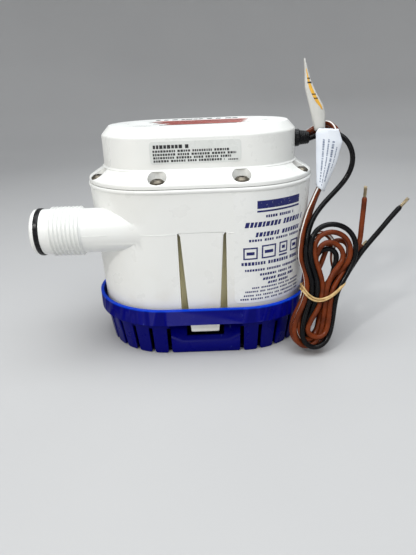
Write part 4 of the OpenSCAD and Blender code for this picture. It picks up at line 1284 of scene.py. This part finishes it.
def make_top_print():
    """Slanted stripes and a row of dashes on the flat top."""
    red = [stripe(*edges, 4.0, 0.16) for edges in (
        (-32, 32, 2.5, 9.5), (-28, 30, -9.5, -1.5), (-22, 28, -21, -12.5))]
    dark = [stripe(*edges, 1.0, 0.15) for edges in (
        (-34, 31, 0.8, 2.0), (-30, 28, -11.4, -10.2), (-25, 25, -23.4, -22.0))]
    x = -31.0
    rng = random.Random(3)
    while x < 31:
        step = rng.uniform(2.2, 4.6)
        dark.append(stripe(x, x + step, 19.0, 23.5, 0.8, 0.14))
        x += step + rng.choice((1.0, 1.0, 3.4))
    for name, slabs, mat in (("top_stripes", red, "red_ink"), ("top_dashes", dark, "black_ink")):
        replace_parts(add_slabs(name, slabs, MATS[mat], "decal_film"), "top_decal")


make_labels()
make_body_print()
make_cap_print()
make_top_print()


# ---- stage and light

FLOOR_Z, FLOOR_SIDES = -0.0004, 72


def make_stage():
    """Pale floor that curves up all round, well away from the pump."""
    profile = [(0.5, 0.0), (0.95, 0.0), (1.15, 0.03), (1.32, 0.12), (1.44, 0.28), (1.5, 0.5), (1.52, 0.9),
               (1.52, 1.6)]
    verts = [(0, 0, FLOOR_Z)] + [(r * cos(a), r * sin(a), z + FLOOR_Z)
                                 for r, z in profile for a in circle(FLOOR_SIDES)]
    faces = [(0, 1 + k, 1 + (k + 1) % FLOOR_SIDES) for k in range(FLOOR_SIDES)]
    rings = tube_faces(len(profile), FLOOR_SIDES, caps=False)
    faces += [(1 + a, 1 + d, 1 + c, 1 + b) for a, b, c, d in rings]
    mesh = new_mesh("studio_floor", verts, faces)
    mesh.shade_smooth()
    floor = add_object("studio_floor", mesh)
    r = Recipe("studio_paper", (0.50, 0.50, 0.50), rough=0.9, specular=0.1)
    r.mottle(6, 3, 0.3, 0.7, (0.47, 0.47, 0.475), 0.3)
    r.bump(r.noise(500, 2), 0.0001, 0.2)
    floor.data.materials.append(r.mat)


# name, place, target's height, size, power, colour
LIGHTS = [
    ("top_softbox", (0.05, -0.15, 0.95), 0.08, 0.9, 9.6, (0.95, 0.98, 1.0)),
    ("front_fill", (0.25, -1.05, 0.45), 0.08, 0.7, 1.8, (1.0, 0.98, 0.95)),
    ("left_warm_fill", (-0.85, -0.55, 0.25), 0.07, 0.5, 1.5, (1.0, 0.92, 0.80)),
    ("small_key", (-0.42, -0.62, 0.72), 0.09, 0.07, 2.6, (1.0, 0.99, 0.97)),
    ("back_rim", (0.3, 0.95, 0.7), 0.1, 0.6, 1.6, (0.95, 0.98, 1.0)),
]


def make_light():
    world = bpy.data.worlds.new("studio")
    bpy.context.scene.world = world
    world.use_nodes = True
    background = world.node_tree.nodes["Background"]
    background.inputs["Color"].default_value = (0.92, 0.95, 1.0, 1)
    background.inputs["Strength"].default_value = 0.36
    for name, place, target, size, power, color in LIGHTS:
        data = bpy.data.lights.new(name, "AREA")
        data.energy = power
        data.color = color
        data.size = size
        light = add_object(name, data)
        light.location = place
        aim = Vector((0, 0, target)) - Vector(place)
        light.rotation_euler = aim.to_track_quat("-Z", "Y").to_euler()


make_stage()
make_light()
bpy.context.scene.view_settings.view_transform = "Standard"
